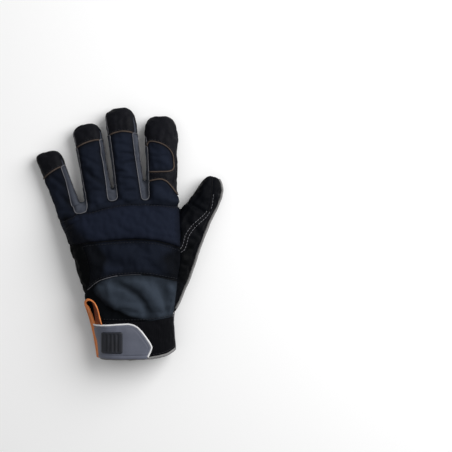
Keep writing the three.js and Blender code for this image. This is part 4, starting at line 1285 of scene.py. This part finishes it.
# Its pale edging follows the rim where it is right of and above either of these two places. The rim's ring
# is turned to start at its lower left corner, where there is none
EDGING_FROM = ((-37.5, -61.5), (-1.0, -90.4))
EDGING_RADIUS = 0.85
chains = chains_of(np.sort(rim_of(strap.faces), 1).tolist())
rim = max([Line(strap.points[c], strap.normals[c], c[0] == c[-1]) for c in chains], key=Line.length).eased(8)
start = int(rim.places[:-1, :2].sum(1).argmin())
ring, ring_up = (np.roll(rows[:-1], -start, 0) for rows in (rim.places, rim.normals))
edging = Line(ring, ring_up).part(lambda p: any(p[0] > x and p[1] > y for x, y in EDGING_FROM)).even(0.8)
thing = swept("strap_edging_bead", [edging], round_profile(EDGING_RADIUS, STRAP_THICK - 0.35, 12))
finish_piece(thing, "edging", ["strap_edging"])

# A plain grip plate with upright bars: its outline, its rim, how far it stands out of the strap, and its bars
GRIP_OUTLINE = [
    (-29.6, -66.9), (-28.2, -65.6), (-11.2, -65.6), (-9.8, -66.9),
    (-9.8, -85.2), (-11.2, -86.5), (-28.2, -86.5), (-29.6, -85.2),
]
PLATE_RISE = 0.75
PLATE_RIM_DROP = 0.5
PLATE_RIM_WIDTH = 0.5
PLATE_SINK = 0.1
BAR_MIDDLE = -19.7
BAR_PITCH = 3.6
BAR_DEPTH = 0.7
plate = patch(inside_outline(GRIP_OUTLINE, wrist_points[:, :2]), wrist_points, wrist_faces)
bars = np.cos((plate.points[:, 0] - BAR_MIDDLE) * 2 * math.pi / BAR_PITCH)
between_bars = ramp(plate.inset, 1.6, 2.4) * ramp(-bars, -0.3, 0.5)
rim_drop = PLATE_RIM_DROP * hump(plate.inset, PLATE_RIM_WIDTH)
plate.rise(STRAP_THICK + PLATE_RISE - rim_drop - BAR_DEPTH * between_bars)
thing = plate.closed("grip_plate_ribbed", plate.points + plate.normals * (STRAP_THICK - PLATE_SINK))
finish_piece(thing, "grip", ["grip_plate"])

# Pull loop: middle of the tape in mm, half its width, and how far its width leans from upright in degrees
LOOP = (
    (-34.9, -91.6, 19.5, 4.6, 20), (-36.6, -79.0, 19.5, 4.7, 22), (-38.5, -67.0, 20.2, 4.8, 26),
    (-40.5, -57.0, 21.6, 4.8, 30), (-42.8, -48.6, 23.6, 4.7, 30), (-45.1, -42.5, 25.8, 4.5, 26),
    (-46.2, -38.8, 27.8, 4.3, 18), (-44.8, -35.9, 29.6, 4.1, 10), (-41.2, -35.6, 31.2, 4.0, 12),
    (-38.4, -38.2, 32.2, 4.0, 20), (-36.4, -42.5, 33.0, 4.1, 27), (-35.2, -47.0, 33.4, 4.2, 31),
    (-34.4, -52.0, 32.9, 4.3, 35), (-33.7, -57.0, 31.6, 4.3, 44), (-33.0, -62.0, 28.9, 4.0, 58),
)
LOOP_THICK = 1.5
LOOP_STEPS = 120
LOOP_EASING = 20
LOOP_PROFILE = (
    (-1, -0.6), (-0.9, -1), (-0.72, -1), (-0.64, -0.75), (0.64, -0.75), (0.72, -1), (0.9, -1), (1, -0.6),
    (1, 0.6), (0.9, 1), (0.72, 1), (0.64, 0.75), (-0.64, 0.75), (-0.72, 1), (-0.9, 1), (-1, 0.6),
)
rows = np.array(LOOP, float)
at = np.linspace(0, len(rows) - 1, LOOP_STEPS)
rows = np.stack([np.interp(at, range(len(rows)), column) for column in rows.T], 1)
for _ in range(LOOP_EASING):
    rows[1:-1] += 0.5 * ((rows[:-2] + rows[2:]) / 2 - rows[1:-1])
middle, half_width, lean = rows[:, :3], rows[:, 3], np.radians(rows[:, 4])
broad = np.stack([np.sin(lean), np.zeros(len(lean)), np.cos(lean)], 1)
ahead = unit(np.gradient(middle, axis=0))
broad = unit(broad - (broad * ahead).sum(1, keepdims=True) * ahead)
thin = np.cross(ahead, broad) * LOOP_THICK / 2
points = []
for i in range(LOOP_STEPS):
    points += [middle[i] + broad[i] * c * half_width[i] + thin[i] * t for c, t in LOOP_PROFILE]
thing = show("pull_loop_webbing", points, tube_faces(LOOP_STEPS, len(LOOP_PROFILE)))
# Painted shade on the tape's inner face, short of its edges
inner_face_shade = [1.0 if t > 0 and abs(c) < 0.95 else 0.0 for c, t in LOOP_PROFILE]
note_points(thing, "painted_shade", inner_face_shade * LOOP_STEPS)
finish_piece(thing, "loop_webbing", ["pull_loop"])

# Pale cord down the cuff's thumb side, through the outermost point of each 1 mm of it
CUFF_SIDE = (-89, -48)
outermost = []
for low in range(*CUFF_SIDE):
    band = np.flatnonzero((cut_points[:, 1] > low) & (cut_points[:, 1] <= low + 1))
    outermost.append(band[cut_points[band, 0].argmax()])
side_line = Line(cut_points[outermost], cut_normals[outermost]).eased(10)
finish_piece(swept("cuff_side_cord", [side_line], round_profile(0.5, 0.1)), "pale_cord")

# Floor, light and camera
FLOOR_SIZE = 3000.0
FLOOR_HEIGHT = -0.1
corners = [(x * FLOOR_SIZE, y * FLOOR_SIZE, FLOOR_HEIGHT) for x, y in ((-1, -1), (1, -1), (1, 1), (-1, 1))]
floor = show("floor", corners, [[0, 1, 2, 3]])
floor.data.materials.append(painted_board("painted_board_white", "#f4f4f4"))


def lamp(name, place, size, power):
    """A soft square light that faces the glove."""
    made = bpy.data.objects.new(name, bpy.data.lights.new(name, "AREA"))
    made.data.energy = power
    made.data.size = size
    made.location = place
    made.rotation_euler = (-Vector(place)).to_track_quat("-Z", "Y").to_euler()
    bpy.context.scene.collection.objects.link(made)


lamp("key_light", (0.80, 0.50, 0.80), 1.0, 18)
lamp("fill_light", (-0.5, 0.2, 1.3), 1.4, 2)
world = bpy.data.worlds.new("studio")
world.use_nodes = True
world.node_tree.nodes["Background"].inputs["Color"].default_value = (1, 1, 1, 1)
world.node_tree.nodes["Background"].inputs["Strength"].default_value = 0.34
bpy.context.scene.world = world
bpy.context.scene.view_settings.view_transform = "Standard"

camera = bpy.data.objects.new("camera", bpy.data.cameras.new("camera"))
bpy.context.scene.collection.objects.link(camera)
camera.data.lens = 100
camera.data.sensor_width = 36
camera.location = (0.0884, 0.0354, 1.2335)
bpy.context.scene.camera = camera
